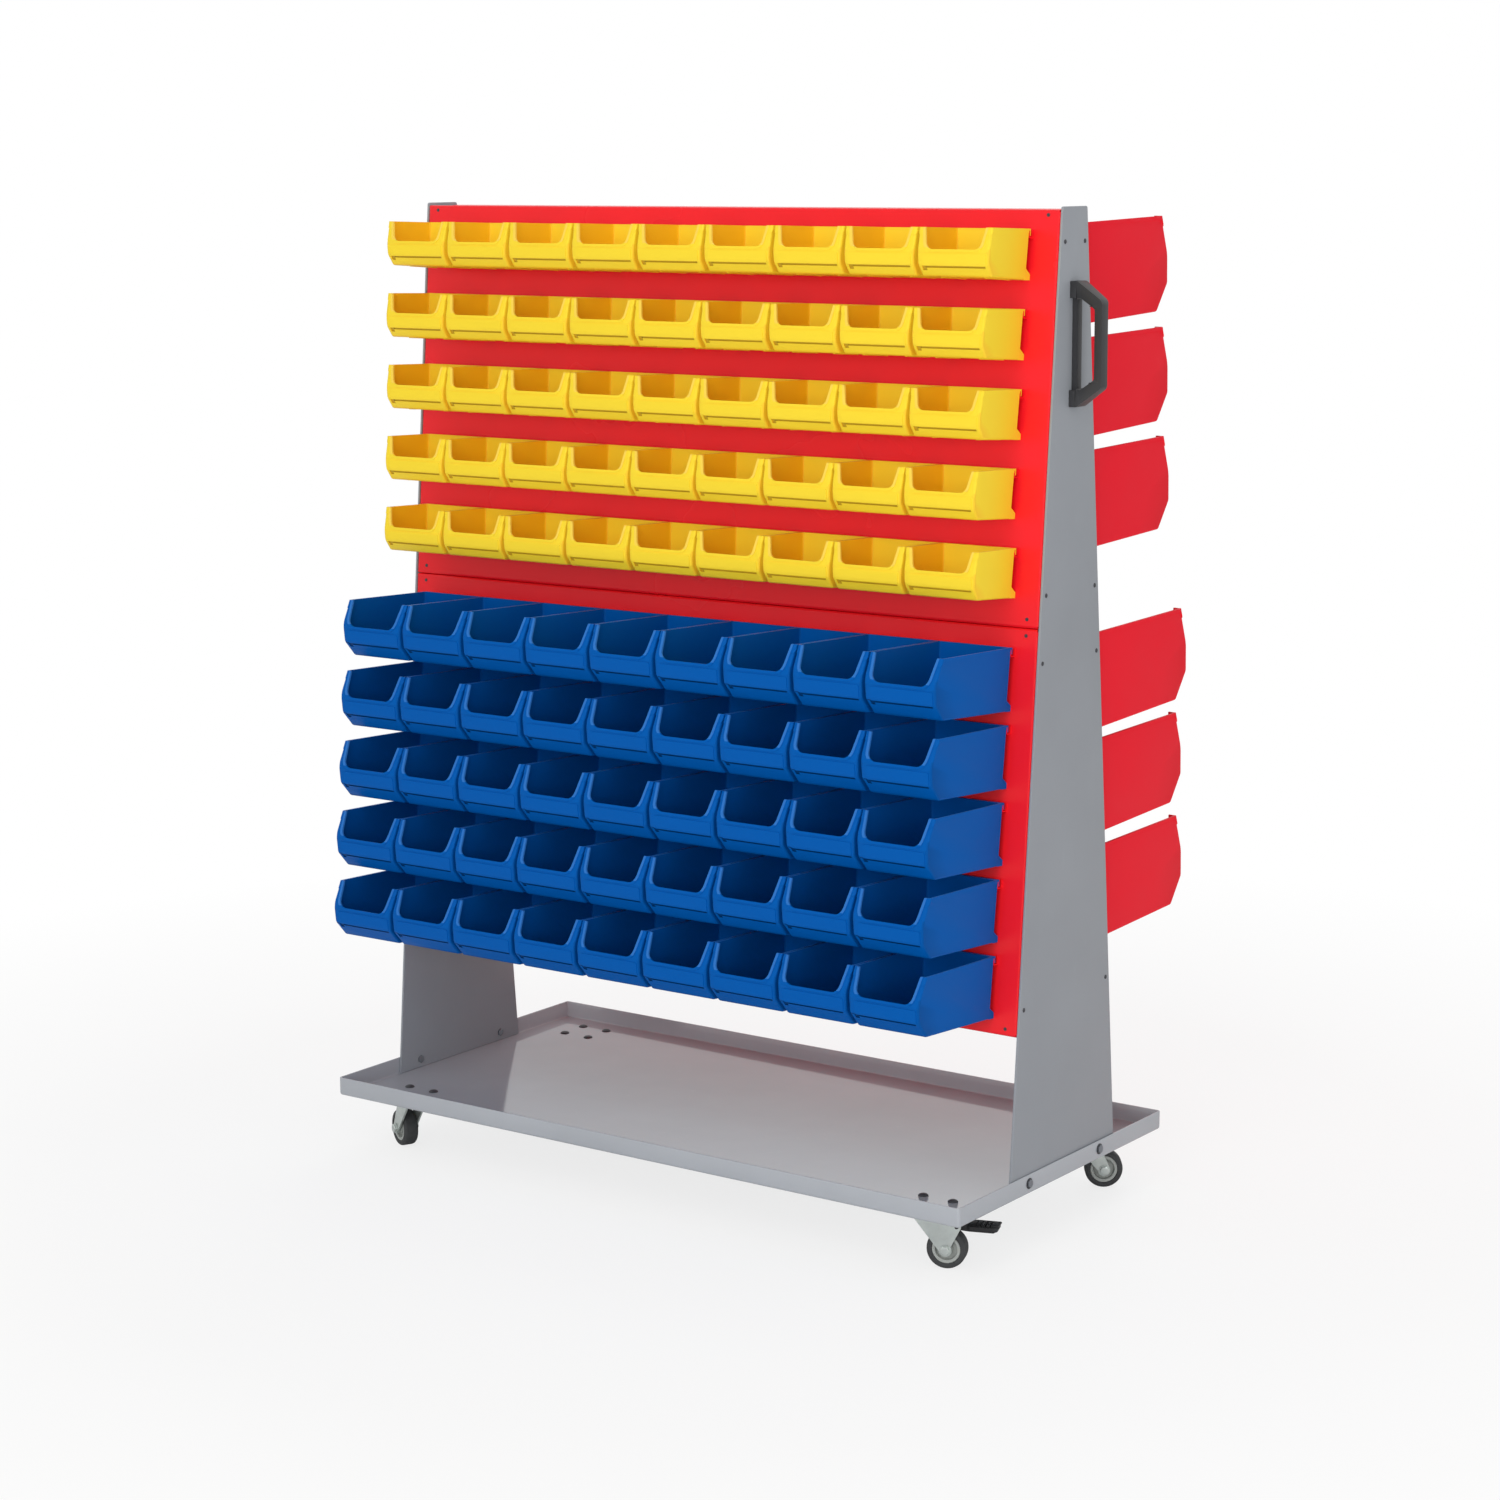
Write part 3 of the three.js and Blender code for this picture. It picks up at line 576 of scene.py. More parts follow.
def bin_body(kind, grow=0.0, side=0.0):
    """The outer form of a bin, its front grown outwards and its sides widened."""
    k = BIN_KINDS[kind]
    back = -STANDOFF
    points = [(back, 0), (back, -floor_drop(k, back))] + front_corners(k, PROUD - grow)
    half = k["width"] / 2 + side
    bm = prism(points, "x", -half, half, k["draft"] / k["height"])

    def level(edge, drop):
        corner = edge.verts[0].co
        return along_x(edge) and abs(corner.z + drop) < NEAR and corner.y < back - BACK_ZONE

    bevel_edges(bm, lambda e: level(e, k["brow"]), k["brow_round"], 4)
    bevel_edges(bm, lambda e: level(e, k["sill_drop"]), SILL_ROUND)
    bevel_edges(bm, lambda e: level(e, k["height"]), FLOOR_ROUND)
    bevel_edges(bm, lambda e: on_side_wall(e) and max(v.co.z for v in e.verts) < -k["fall"] + NEAR
                and not all(v.co.y > back - NEAR for v in e.verts), SIDE_ROUND)
    return bm


def bin_hollow(kind):
    """What is cut out of a bin: its outer form less the walls, open at the top."""
    k = BIN_KINDS[kind]
    back = -STANDOFF - BIN_WALL
    inset = BIN_WALL + PROUD
    points = [(back, CUT_ABOVE), (back, -floor_drop(k, back) + BIN_WALL)]
    points += front_corners(k, inset, BIN_WALL) + [(-k["top"] + inset, CUT_ABOVE)]
    half = k["width"] / 2 - BIN_WALL
    bm = prism(points, "x", -half, half, k["draft"] / k["height"])
    bevel_edges(bm, lambda e: along_x(e) and e.verts[0].co.z < -TOP_ZONE, INNER_FLOOR_ROUND)
    bevel_edges(bm, lambda e: on_side_wall(e) and min(v.co.z for v in e.verts) < CUT_ABOVE - NEAR,
                INNER_SIDE_ROUND)
    return bm


def mouth_outline(kind, grow=0.0):
    k = BIN_KINDS[kind]
    top = k["width"] / 2 - k["mouth_top"] + grow
    low = k["width"] / 2 - k["mouth_low"] + grow
    depth = k["mouth"] + grow
    high = top + (top - low) / k["mouth"] * MOUTH_ABOVE
    points = [(high, MOUTH_ABOVE), (low, -depth), (-low, -depth), (-high, MOUTH_ABOVE)]
    return rounded(points, [0, k["corner"] + grow, k["corner"] + grow, 0], 6)


def mouth_tool(kind, grow=0.0):
    k = BIN_KINDS[kind]
    front, back = -k["reach"] - CUT_AHEAD, -k["top"] + MOUTH_INTO
    return prism_piece("mouth", mouth_outline(kind, grow), "y", front, back)


def add_raised(shell, kind, tool, grow, side=0.0):
    """Joins to a bin what a tool shares with its outer form grown by a little: a rim or a raised face."""
    grown = from_bmesh("grown", bin_body(kind, grow, side))
    boolean(shell, boolean(grown, tool, "INTERSECT"), "UNION")


def cut_groove(shell, k, x0, x1, above, below):
    """A shallow cut in the sloping band under the sill, between two drops below it."""
    def face(drop, depth):
        return (-k["sill"] + band_slope(k) * drop + depth, -k["sill_drop"] - drop)
    points = [face(above, GROOVE_DEPTH), face(below, GROOVE_DEPTH), face(below, -GROOVE_OUT),
              face(above, -GROOVE_OUT)]
    boolean(shell, prism_piece("groove", points, "x", x0, x1))


def add_rims(shell, kind):
    """Rims round the mouth and along the top of both sides, and the raised label face on the lower front."""
    k = BIN_KINDS[kind]
    w, back, ahead = k["width"], -STANDOFF - OVERLAP, -k["reach"] - BAND_AHEAD
    add_raised(shell, kind, mouth_tool(kind, MOUTH_RIM), PROUD)
    band = [(back, BAND_OVER), (back, -TOP_RIM), (-k["top"] + BAND_BEND, -k["fall"] - TOP_RIM - PROUD),
            (ahead, -k["brow"] + BAND_OVER), (ahead, BAND_OVER)]
    add_raised(shell, kind, prism_piece("band", band, "x", -w, w), PROUD * TOP_RIM_SHARE, k["rim"])
    left, right = -w / 2 + LABEL_LEFT, w / 2 - LABEL_RIGHT
    low, high = -k["sill_drop"] - LABEL_UNDER_SILL, -k["mouth"] - LABEL_UNDER_MOUTH
    label = rounded([(left, low), (right, low), (right, high), (left, high)], LABEL_ROUND, 3)
    label_tool = prism_piece("label", label, "y", -k["reach"] - CUT_AHEAD, -k["top"] + LABEL_INTO)
    add_raised(shell, kind, label_tool, PROUD)


def add_hook_and_foot(shell, k):
    """The hook with its tongue, at the top of the back wall, and the foot that rests on the panel."""
    w, back = k["width"], -STANDOFF - OVERLAP
    tongue_back, tongue_front, tongue_low, sheet = -6.8, -8.4, -8, 2
    hook = [(back, 0), (tongue_back, 0), (tongue_back, tongue_low), (tongue_front, tongue_low),
            (tongue_front, -sheet), (back, -sheet)]
    boolean(shell, prism_piece("hook", hook, "x", -w / 2, w / 2), "UNION")
    foot_half = w / 2 - k["draft"]
    face, low, face_high, foot_high = -0.4, k["rise"] - k["height"], 7, 14
    foot = [(back, low + foot_high), (face, low + face_high), (face, low), (back, low - OVERLAP)]
    boolean(shell, prism_piece("foot", foot, "x", -foot_half, foot_half), "UNION")


def add_runners(shell, k):
    """Two runners under the floor."""
    near, far, into_floor = -RUNNER_BACK, -k["floor"] + RUNNER_FRONT, 1
    for side in (-1, 1):
        x = side * k["width"] * RUNNER_SHARE
        points = [(y, -floor_drop(k, y) + rise) for y, rise in
                  ((far, -RUNNER_HIGH), (near, -RUNNER_HIGH), (near, into_floor), (far, into_floor))]
        boolean(shell, prism_piece("runner", points, "x", x - RUNNER_HALF, x + RUNNER_HALF), "UNION")


def mark_faces(obj, kind):
    """Marks faces for the plastic's painted light: rim on the rims for a painted highlight, groove_shade in
    the groove under the sill for a painted shade, and inner on the inside of the side walls for a painted
    tint of light bounced inside the bin."""
    k = BIN_KINDS[kind]
    half = k["width"] / 2
    rim_reach, rim_low, past_end_share = MOUTH_RIM + 0.2, 2.5, 0.05
    groove_from, groove_to, groove_end, band_low = 0.9, 2.45, 6, 2
    wall_zone, facing = 8, 0.7
    outline = [Vector(p) for p in mouth_outline(kind)]
    spans = list(zip(outline, outline[1:]))
    marks = {name: obj.data.attributes.new(name, "FLOAT", "FACE") for name in ("rim", "groove_shade", "inner")}

    def by_mouth(c):
        """On the rim beside the mouth. What is marked ends a little above the mouth's lower edge."""
        if c.y > -k["top"] + MOUTH_INTO or c.z < -k["mouth"] + rim_low:
            return False
        flat = Vector((c.x, c.z))
        nearest = [intersect_point_line(flat, a, b) for a, b in spans]
        return any((flat - point).length < rim_reach and -past_end_share < share < 1 + past_end_share
                   for point, share in nearest)

    for face in obj.data.polygons:
        c = face.center
        inward = c.y + k["sill"] - band_slope(k) * (-c.z - k["sill_drop"])
        on_band = -k["height"] + band_low < c.z < -k["sill_drop"] - NEAR
        top = -k["fall"] * (-c.y - STANDOFF) / (k["top"] - STANDOFF)
        on = {
            # Rim faces, which the plastic paints with a highlight
            "rim": by_mouth(c) or c.z > top - NEAR,
            # Faces in the groove under the sill, which the plastic darkens as painted shade
            "groove_shade": on_band and groove_from < inward < groove_to and abs(c.x) < half - groove_end,
            # Inside faces of the side walls, which get a painted tint for light bounced inside the bin
            "inner": (face.normal.x * c.x < 0 and abs(face.normal.x) > facing
                      and abs(c.x) > half - wall_zone),
        }
        for name, layer in marks.items():
            layer.data[face.index].value = float(on[name])


def bin_template(kind):
    k = BIN_KINDS[kind]
    w = k["width"]
    shell = from_bmesh(kind + "_shell", bin_body(kind))
    add_rims(shell, kind)
    # A groove under the sill, and a notch at its left end
    cut_groove(shell, k, -w / 2 + GROOVE_LEFT, w / 2 - GROOVE_RIGHT, GROOVE_HIGH, GROOVE_LOW)
    cut_groove(shell, k, -w / 2 + NOTCH_LEFT, -w / 2 + NOTCH_RIGHT, GROOVE_HIGH, NOTCH_LOW)
    add_hook_and_foot(shell, k)
    add_runners(shell, k)
    boolean(shell, from_bmesh("hollow", bin_hollow(kind)))
    boolean(shell, mouth_tool(kind))
    soften(shell, k["edge"], angle=34)
    mark_faces(shell, kind)
    return shell


def strip_mesh(name, length):
    """Hanging strip: leg, fold outwards and upturned lip."""
    sheet, lip_face, lip_top, fold = 1.5, 10.2, 2.3, 11.3
    leg, lip_back, inside = GAP + sheet, lip_face - sheet, fold - sheet
    points = [(-GAP, -GAP), (-leg, -GAP), (-leg, -inside), (-lip_back, -inside), (-lip_back, -lip_top),
              (-lip_face, -lip_top), (-lip_face, -fold), (-GAP, -fold)]
    outline = rounded(points, [0.5, 0.5, 0.8, 0.8, 0.5, 0.5, 2.0, 0.6], 3)
    return prism_piece(name, outline, "x", -length / 2, length / 2)


def hang_row(kind, row, template, shift, gap, hook_z):
    """A row of bins on its strip. The end bin is a piece of its own where the frame has a node for it."""
    k = BIN_KINDS[kind]
    side, end = ("rear", -1) if kind == "red" else ("front", 1)
    pitch = k["width"] + gap
    span = (k["count"] - 1) * pitch
    place = SIDES[side] @ moved(end * shift, 0, hook_z)
    places = [-span / 2 + n * pitch for n in range(k["count"])]
    end_x = end * span / 2
    end_node = f"{kind}_end_bin_{row}"
    lifts = end_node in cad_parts
    fixed = [x for x in places if not (lifts and abs(x - end_x) < NEAR)]
    look, slot = BIN_MATERIAL[kind], f"{kind}_plastic"
    body = merged(f"{kind}_bins_{row}", [(template, spot(x, 0, 0)) for x in fixed])
    finish_piece(body, look, "frame", place, [f"{kind}_bin_row_{row}"])
    strip = strip_mesh(f"{kind}_strip_{row}", span + k["width"])
    finish_piece(strip, RED, "frame", place)
    if lifts:
        name = f"{kind}_lift_bin_{row}"
        single = merged(name, [(template, spot(end_x, 0, 0))])
        finish_piece(single, look, name, place, [end_node])


for kind in BIN_KINDS:
    template = bin_template(kind)
    for i, (shift, gap, hook_z) in enumerate(zip(ROW_SHIFTS[kind], ROW_GAPS[kind], HOOK_LINES[kind])):
        hang_row(kind, i + 1, template, shift, gap, hook_z)
    discard(template)


# Panels
def folded_panel(name, top):
    """Front face with flanges turned back on all four edges, each round a bend."""
    w, sheet, bend, steps = PANEL_HALF, 1.5, 3.0, 5
    side_flange, end_flange, corner_gap = 24, 16, 1.2
    high, low = top - GAP, top - PANEL_HEIGHT + GAP
    left, right = (-w + bend, bend), (w - bend, bend)
    outer = [(-w, side_flange)] + arc(left, bend, 180, 270, steps)
    outer += arc(right, bend, 270, 360, steps) + [(w, side_flange)]
    inner = [(w - sheet, side_flange)] + arc(right, bend - sheet, 360, 270, steps)
    inner += arc(left, bend - sheet, 270, 180, steps) + [(-w + sheet, side_flange)]
    parts = [prism_piece("wide", outer + inner, "z", low + bend, high - bend)]
    for edge, sign in ((high, 1), (low, -1)):
        centre = edge - sign * bend
        outside = [(y, centre + sign * z) for y, z in arc((bend, 0), bend, 180, 90, steps)]
        inside = [(y, centre + sign * z) for y, z in arc((bend, 0), bend - sheet, 90, 180, steps)]
        outline = outside + [(end_flange, edge), (end_flange, edge - sign * sheet)] + inside
        parts.append(prism_piece("edge", outline, "x", -w + corner_gap, w - corner_gap))
    return joined(name, *parts)


def panel_hole_painted_shade(side):
    """Small fixing holes near the ends of the panels, at their top and bottom edges, drawn as flat dark
    discs: painted shade of the holes.
    """
    from_middle, drops = 478, (10, 492, 512, 994)
    radius, chamfer, proud = 2.4, 0.2, 0.15
    dot = turned("dot", [(0, -proud), (radius - chamfer, -proud), (radius, GAP), (0, GAP)], 20, "y")
    spots = [(dot, spot(x, -OVERLAP, -z)) for x in (-from_middle, from_middle) for z in drops]
    # The dark discs are painted shade where the holes are.
    finish_piece(merged(f"{side}_panel_hole_painted_shade", spots), DARK, "frame", SIDES[side])
    discard(dot)


for side, place in SIDES.items():
    for level, top in zip(("upper", "lower"), PANEL_TOPS):
        panel = folded_panel(f"{side}_{level}_panel_sheet", top)
        finish_piece(panel, RED, "frame", place, [f"{side}_{level}_panel"])
for side in SIDES:
    panel_hole_painted_shade(side)


# Screws and bolts, drawn standing up from z = 0
WASHER_THICK = 0.9


def hex_head(radius, height):
    """Hexagon bolt head with its top corners chamfered."""
    cone_share, top_share, flat_share = 1.2, 0.78, 0.55  # of the radius, the radius and the height
    head = prism_piece("hex", arc((0, 0), radius, 0, 300, 5), "z", 0, height)
    trim = turned("trim", [(0, -1), (radius * cone_share, -1), (radius * cone_share, height * flat_share),
                           (radius * top_share, height), (0, height)], 24)
    boolean(head, trim, "INTERSECT")
    return soften(head, 0.25, angle=25)


def dome_head(radius, height):
    bends = (0.35, 0.7, 1.0, 1.25, 1.45)  # angles from the axis, in radians
    crown = [(radius * math.sin(a), height * math.cos(a)) for a in bends]
    return turned("dome", [(0, height)] + crown + [(radius, 0), (0, 0)], 24)


def washer(radius, bore):
    thick, edge = WASHER_THICK, 0.3
    return turned("washer", [(bore, 0), (radius - edge, 0), (radius, edge), (radius, thick - edge),
                             (radius - edge, thick), (bore, thick)], 24)


# End plates
SCREW_HEIGHTS = (1239, 819, 737, 314)  # over the floor
SCREW_TO_EDGE = 9
PLATE_BOLT_Y, PLATE_BOLT_Z = 87, TRAY_BOTTOM + 14


def plate_half(z):
    """Half the width of an end plate at a height."""
    return PLATE_FOOT / 2 + (PLATE_TOP - PLATE_FOOT) / 2 * (z - PLATE_FOOT_Z) / PLATE_HEIGHT


def end_plate(name, sign):
    foot, top = PLATE_FOOT / 2, PLATE_TOP / 2
    foot_round, top_round = 2, 3
    corners = [(-foot, PLATE_FOOT_Z), (foot, PLATE_FOOT_Z), (top, APEX_Z), (-top, APEX_Z)]
    outline = rounded(corners, [foot_round, foot_round, top_round, top_round])
    x0, x1 = sorted((sign * PLATE_INNER, sign * PLATE_OUTER))
    return soften(prism_piece(name, outline, "x", x0, x1), 0.7, angle=50)


def fit_end_plate(name, sign):
    """An end plate with its edge screws, and the bolts that hold it to the tray."""
    plate = end_plate(f"end_plate_{name}_sheet", sign)
    finish_piece(plate, GREY, "frame", ROOT, [f"end_plate_{name}"])
    outwards = Matrix.Rotation(sign * math.pi / 2, 4, "Y")
    dome = dome_head(radius=2.8, height=1.3)
    spots = []
    for z in SCREW_HEIGHTS:
        edge = plate_half(z) - SCREW_TO_EDGE
        spots += [(dome, spot(sign * PLATE_OUTER, y, z) @ outwards) for y in (-edge, edge)]
    finish_piece(merged(f"end_plate_{name}_screws", spots), DARK, "frame", ROOT)
    head, ring = hex_head(radius=5.5, height=2.4), washer(radius=7, bore=3)
    heads, rings = [], []
    for y in (-PLATE_BOLT_Y, PLATE_BOLT_Y):
        at = spot(sign * TRAY_LENGTH / 2, y, PLATE_BOLT_Z) @ outwards
        back = spot(sign * PLATE_INNER, y, PLATE_BOLT_Z) @ outwards.inverted()
        rings.append((ring, at))
        heads += [(head, at @ spot(0, 0, WASHER_THICK - OVERLAP)), (head, back)]
    finish_piece(merged(f"end_plate_{name}_washers", rings), DARK, "frame", ROOT)
    finish_piece(merged(f"end_plate_{name}_bolts", heads), DULL, "frame", ROOT)
    discard(dome, head, ring)


fit_end_plate("right", 1)
fit_end_plate("left", -1)


# Base tray
def base_tray(name):
    """A pan folded up on four sides, its bends rounded and its corners closed by a weld."""
    outer_bend, inner_bend, over = 4, 2.2, 20
    lx, ly = TRAY_LENGTH / 2, TRAY_DEPTH / 2

    def bend(edge, floor):
        """An edge round the floor or up a corner."""
        a, b = (v.co.z for v in edge.verts)
        return max(a, b) < floor + NEAR or abs(a - b) > TRAY_FLANGE / 2

    outer = block(-lx, lx, -ly, ly, TRAY_BOTTOM, TRAY_TOP)
    bevel_edges(outer, lambda e: bend(e, TRAY_BOTTOM), outer_bend, 5)
    pan = from_bmesh(name, outer)
    lx, ly = lx - TRAY_SHEET, ly - TRAY_SHEET
    inner = block(-lx, lx, -ly, ly, TRAY_FLOOR, TRAY_TOP + over)
    bevel_edges(inner, lambda e: bend(e, TRAY_FLOOR), inner_bend, 4)
    boolean(pan, from_bmesh("inner", inner))
    return soften(pan, 0.6, angle=60)


finish_piece(base_tray("base_tray_pan"), TRAY_GREY, "frame", ROOT, ["base_tray"])


# Pull handle
HANDLE_HALF, HANDLE_DROP = 75, 88  # the drop is from the end plates' top


def pull_handle(name):
    """Moulded bow handle on the right end plate, drawn with its foot at x = 0 and its middle at z = 0."""
    half, foot, reach, bow_half = HANDLE_HALF, 10, 42, 52
    gap_half, gap_foot, gap_back, gap_reach, gap_bow = 55, 8, 13, 32, 42
    wide, grip, web = 11, 7.5, 4.5  # half widths of the feet, the grip and the web between the feet
    grip_back, grip_half, taper_wide, taper_end = 28, 46, 10.9, 71
    beyond, ahead, above, behind = 40, 70, 90, 10  # how far the cutting tools go
    ring = [(0, -half), (foot, -half), (reach, -bow_half), (reach, bow_half), (foot, half), (0, half)]
    body = prism_piece(name, rounded(ring, [1, 3, 9, 9, 3, 1], 5), "y", -wide, wide)
    gap = [(gap_foot, -gap_half), (gap_back, -gap_half), (gap_reach, -gap_bow), (gap_reach, gap_bow),
           (gap_back, gap_half), (gap_foot, gap_half)]
    boolean(body, prism_piece("gap", rounded(gap, [2, 4, 5, 5, 4, 2], 5), "y", -beyond, beyond))
    for s in (-1, 1):
        y0, y1 = sorted((s * web, s * beyond))
        boolean(body, from_bmesh("recess", block(-behind, gap_foot, y0, y1, -gap_half, gap_half)))
        side = [(s * grip, -grip_half), (s * beyond, -grip_half), (s * beyond, grip_half),
                (s * grip, grip_half)]
        boolean(body, prism_piece("side", side, "x", grip_back, ahead))
        for up in (1, -1):
            wedge = [(s * grip, up * grip_half), (s * beyond, up * grip_half), (s * beyond, up * above),
                     (s * taper_wide, up * taper_end)]
            boolean(body, prism_piece("wedge", wedge, "x", gap_foot, ahead))
    return soften(body, 1.6, angle=28, segments=3)


handle_place = ROOT @ moved(PLATE_OUTER + GAP, 0, APEX_Z - HANDLE_DROP - HANDLE_HALF)
finish_piece(pull_handle("pull_handle_bow"), GRIP, "frame", handle_place, ["pull_handle"])


# Casters, drawn about the kingpin with the wheel trailing towards x
CASTERS = {  # side in x, side in y, heading in degrees, with a brake
    "front_right": (1, -1, 20, True),
    "rear_right": (1, 1, 35, False),
    "front_left": (-1, -1, 155, False),
    "rear_left": (-1, 1, 10, True),
}
CASTER_X, CASTER_Y = 420, 192
TRAIL, WHEEL_R, WHEEL_W = 24, 25, 20
CASTER_SHEET, RACE_HIGH = 3, 6
PLATE_UNDER = TRAY_BOTTOM - GAP - CASTER_SHEET
RACE_UNDER = PLATE_UNDER - RACE_HIGH
CROWN_TOP = RACE_UNDER - GAP
CROWN_UNDER = CROWN_TOP - CASTER_SHEET
CROWN_R = 21
LEG_IN, LEG_OUT = 11.5, 14
CASTER_BOLT = 21.5  # from the kingpin, in x and y
BRAKE_PIN = (38, 56)


def caster_plate():
    """Plate, ball race and the kingpin's head under the fork."""
    half, corner = 30, 6
    square = rounded([(-half, -half), (half, -half), (half, half), (-half, half)], corner, 6)
    plate = prism_piece("plate", square, "z", PLATE_UNDER, PLATE_UNDER + CASTER_SHEET)
    soften(plate, 0.6, angle=40)
    race = turned("race", [(0, 0.3), (13.5, 0), (16.5, 0.6), (18, 2.4), (18, 4), (19.5, 5.2), (20.5, 6.2),
                           (0, 6.2)], 48, base=RACE_UNDER)
    head = turned("head", [(0, -3.4), (3.5, -3.3), (7, -2.4), (8, -1.2), (8, -0.3), (0, -0.3)], 32,
                  base=CROWN_UNDER)
    return joined("mount", plate, race, head)


def caster_bolts():
    """Four carriage bolts: domed heads on the tray floor, necks and nuts under the plate."""
    dome = dome_head(radius=6.5, height=3)
    nut = hex_head(radius=5, height=3.2)
    radius, end, chamfer = 2.4, PLATE_UNDER - 5, 0.4
    neck = turned("neck", [(0, end), (radius, end + chamfer), (radius, TRAY_FLOOR), (0, TRAY_FLOOR)], 16)
    spots = []
    for x in (-CASTER_BOLT, CASTER_BOLT):
        for y in (-CASTER_BOLT, CASTER_BOLT):
            spots.append((dome, spot(x, y, TRAY_FLOOR + OVERLAP)))
            spots.append((neck, spot(x, y, 0)))
            spots.append((nut, spot(x, y, PLATE_UNDER) @ Matrix.Rotation(math.pi, 4, "X")))
    made = merged("bolts", spots)
    discard(dome, nut, neck)
    return made


def fork_outline(brake):
    """A leg's outline: shoulder, round end at the axle and, with a brake, a round ear at its pin."""
    half = math.sqrt(CROWN_R ** 2 - LEG_OUT ** 2)
    axle_round, ear_round, last = 8, 5.5, math.radians(105)
    points = [(-half, CROWN_TOP), (-half, CROWN_UNDER - 1)]
    points += arc((TRAIL, WHEEL_R), axle_round, 190, 395, 14)
    if brake:
        x, z = BRAKE_PIN
        points += arc(BRAKE_PIN, ear_round, -40, 85, 5)
        points.append((x + ear_round * math.cos(last), z + ear_round * math.sin(last)))
    return points + [(half, CROWN_UNDER), (half, CROWN_TOP)]


def caster_fork(brake):
    """Pressed fork: a crown with a rounded shoulder into two tapered legs, one pressing."""
    outline = fork_outline(brake)
    bore_r, over = 5.6, 20
    crown = turned("crown", [(0, 0), (18.5, 0), (19.5, -1.4), (CROWN_R, -1.4), (CROWN_R, 1.2),
                             (19.2, CASTER_SHEET), (0, CASTER_SHEET)], 48, base=CROWN_UNDER)
    for y0, y1 in ((LEG_IN, LEG_OUT), (-LEG_OUT, -LEG_IN)):
        boolean(crown, prism_piece("leg", outline, "y", y0, y1), "UNION")
    bore = arc((0, 0), bore_r, 0, 345, 23)
    boolean(crown, prism_piece("bore", bore, "z", CROWN_UNDER - over, CROWN_TOP + over))
    return soften(crown, 0.5, angle=35)


def caster_axle():
    """Axle shaft, with a washer and a hexagon at both ends."""
    head, ring = hex_head(radius=6.2, height=3.2), washer(radius=7.4, bore=3)
    radius, end, clear = 4, LEG_OUT + 2, 0.1
    shaft = turned("shaft", [(0, -end), (radius, -end), (radius, end), (0, end)], 32)
    at = spot(TRAIL, 0, WHEEL_R)
    ring_at = spot(0, 0, LEG_OUT + clear)
    head_at = spot(0, 0, LEG_OUT + WASHER_THICK)
    to_y, to_back = (Matrix.Rotation(turn, 4, "X") for turn in (-math.pi / 2, math.pi / 2))
    spots = [(shaft, at @ to_y)]
    for turn in (to_y, to_back):
        spots += [(ring, at @ turn @ ring_at), (head, at @ turn @ head_at)]
    made = merged("axle", spots)
    discard(head, ring, shaft)
    return made


def wheel_tyre():
    w = -WHEEL_W / 2
    half = [(18, w + 0.6), (18.6, w), (21.8, w), (23.6, w + 0.7), (24.6, w + 2), (WHEEL_R, w + 4)]
    return turned("tyre", mirrored(half), 96, "y")


def wheel_hub():
    """Wheel centre: bore, thin web and rim, each with softened edges."""
    w = -9.2
    half = [(4.3, w), (7.2, w), (7.8, w + 0.6), (8.2, -4.2), (13.3, -3.6), (13.9, w + 0.8), (14.4, w + 0.3),
            (17.4, w + 0.3), (17.9, w + 0.8)]
    return turned("hub", mirrored(half), 72, "y")


def brake_pedal():
    """Foot lever: arm on its pin, grooved tread that widens outwards, and the nose over the tyre."""
    arm_half, tread_low, tread_top, pin_end = 9.5, 53, 58, 15.2
    groove_wide, groove_half, groove_low, groove_high = 1.6, 11.5, 57.4, 64
    arm = rounded([(36, 60.5), (34, 56), (36, 51.5), (52, 50.2), (84, 50.2), (90, 58.5), (89, 60), (52, 58)],
                  [3, 3, 3, 6, 4, 1.5, 1.5, 8], 3)
    body = prism_piece("pedal", arm, "y", -arm_half, arm_half)
    tread = rounded([(50, -9.5), (56, -15), (84, -15), (88, -12), (88, 12), (84, 15), (56, 15), (50, 9.5)],
                    [2, 5, 5, 5, 5, 5, 5, 2], 3)
    boolean(body, prism_piece("tread", tread, "z", tread_low, tread_top), "UNION")
    nose = [(36, 56), (36, 47.7), (37, 47.2), (39, 47.2), (40, 47.7), (40, 56)]
    boolean(body, prism_piece("nose", nose, "y", -arm_half, arm_half), "UNION")
    for x in (60, 66, 72, 78):
        groove = block(x, x + groove_wide, -groove_half, groove_half, groove_low, groove_high)
        boolean(body, from_bmesh("groove", groove))
    soften(body, 0.8, angle=30)
    pin = turned("pin", mirrored([(0, -pin_end), (2.2, -pin_end), (2.5, 0.4 - pin_end)]), 20, "y")
    made = merged("pedal", [(body, SAME), (pin, spot(BRAKE_PIN[0], 0, BRAKE_PIN[1]))])
    discard(body, pin)
    return made


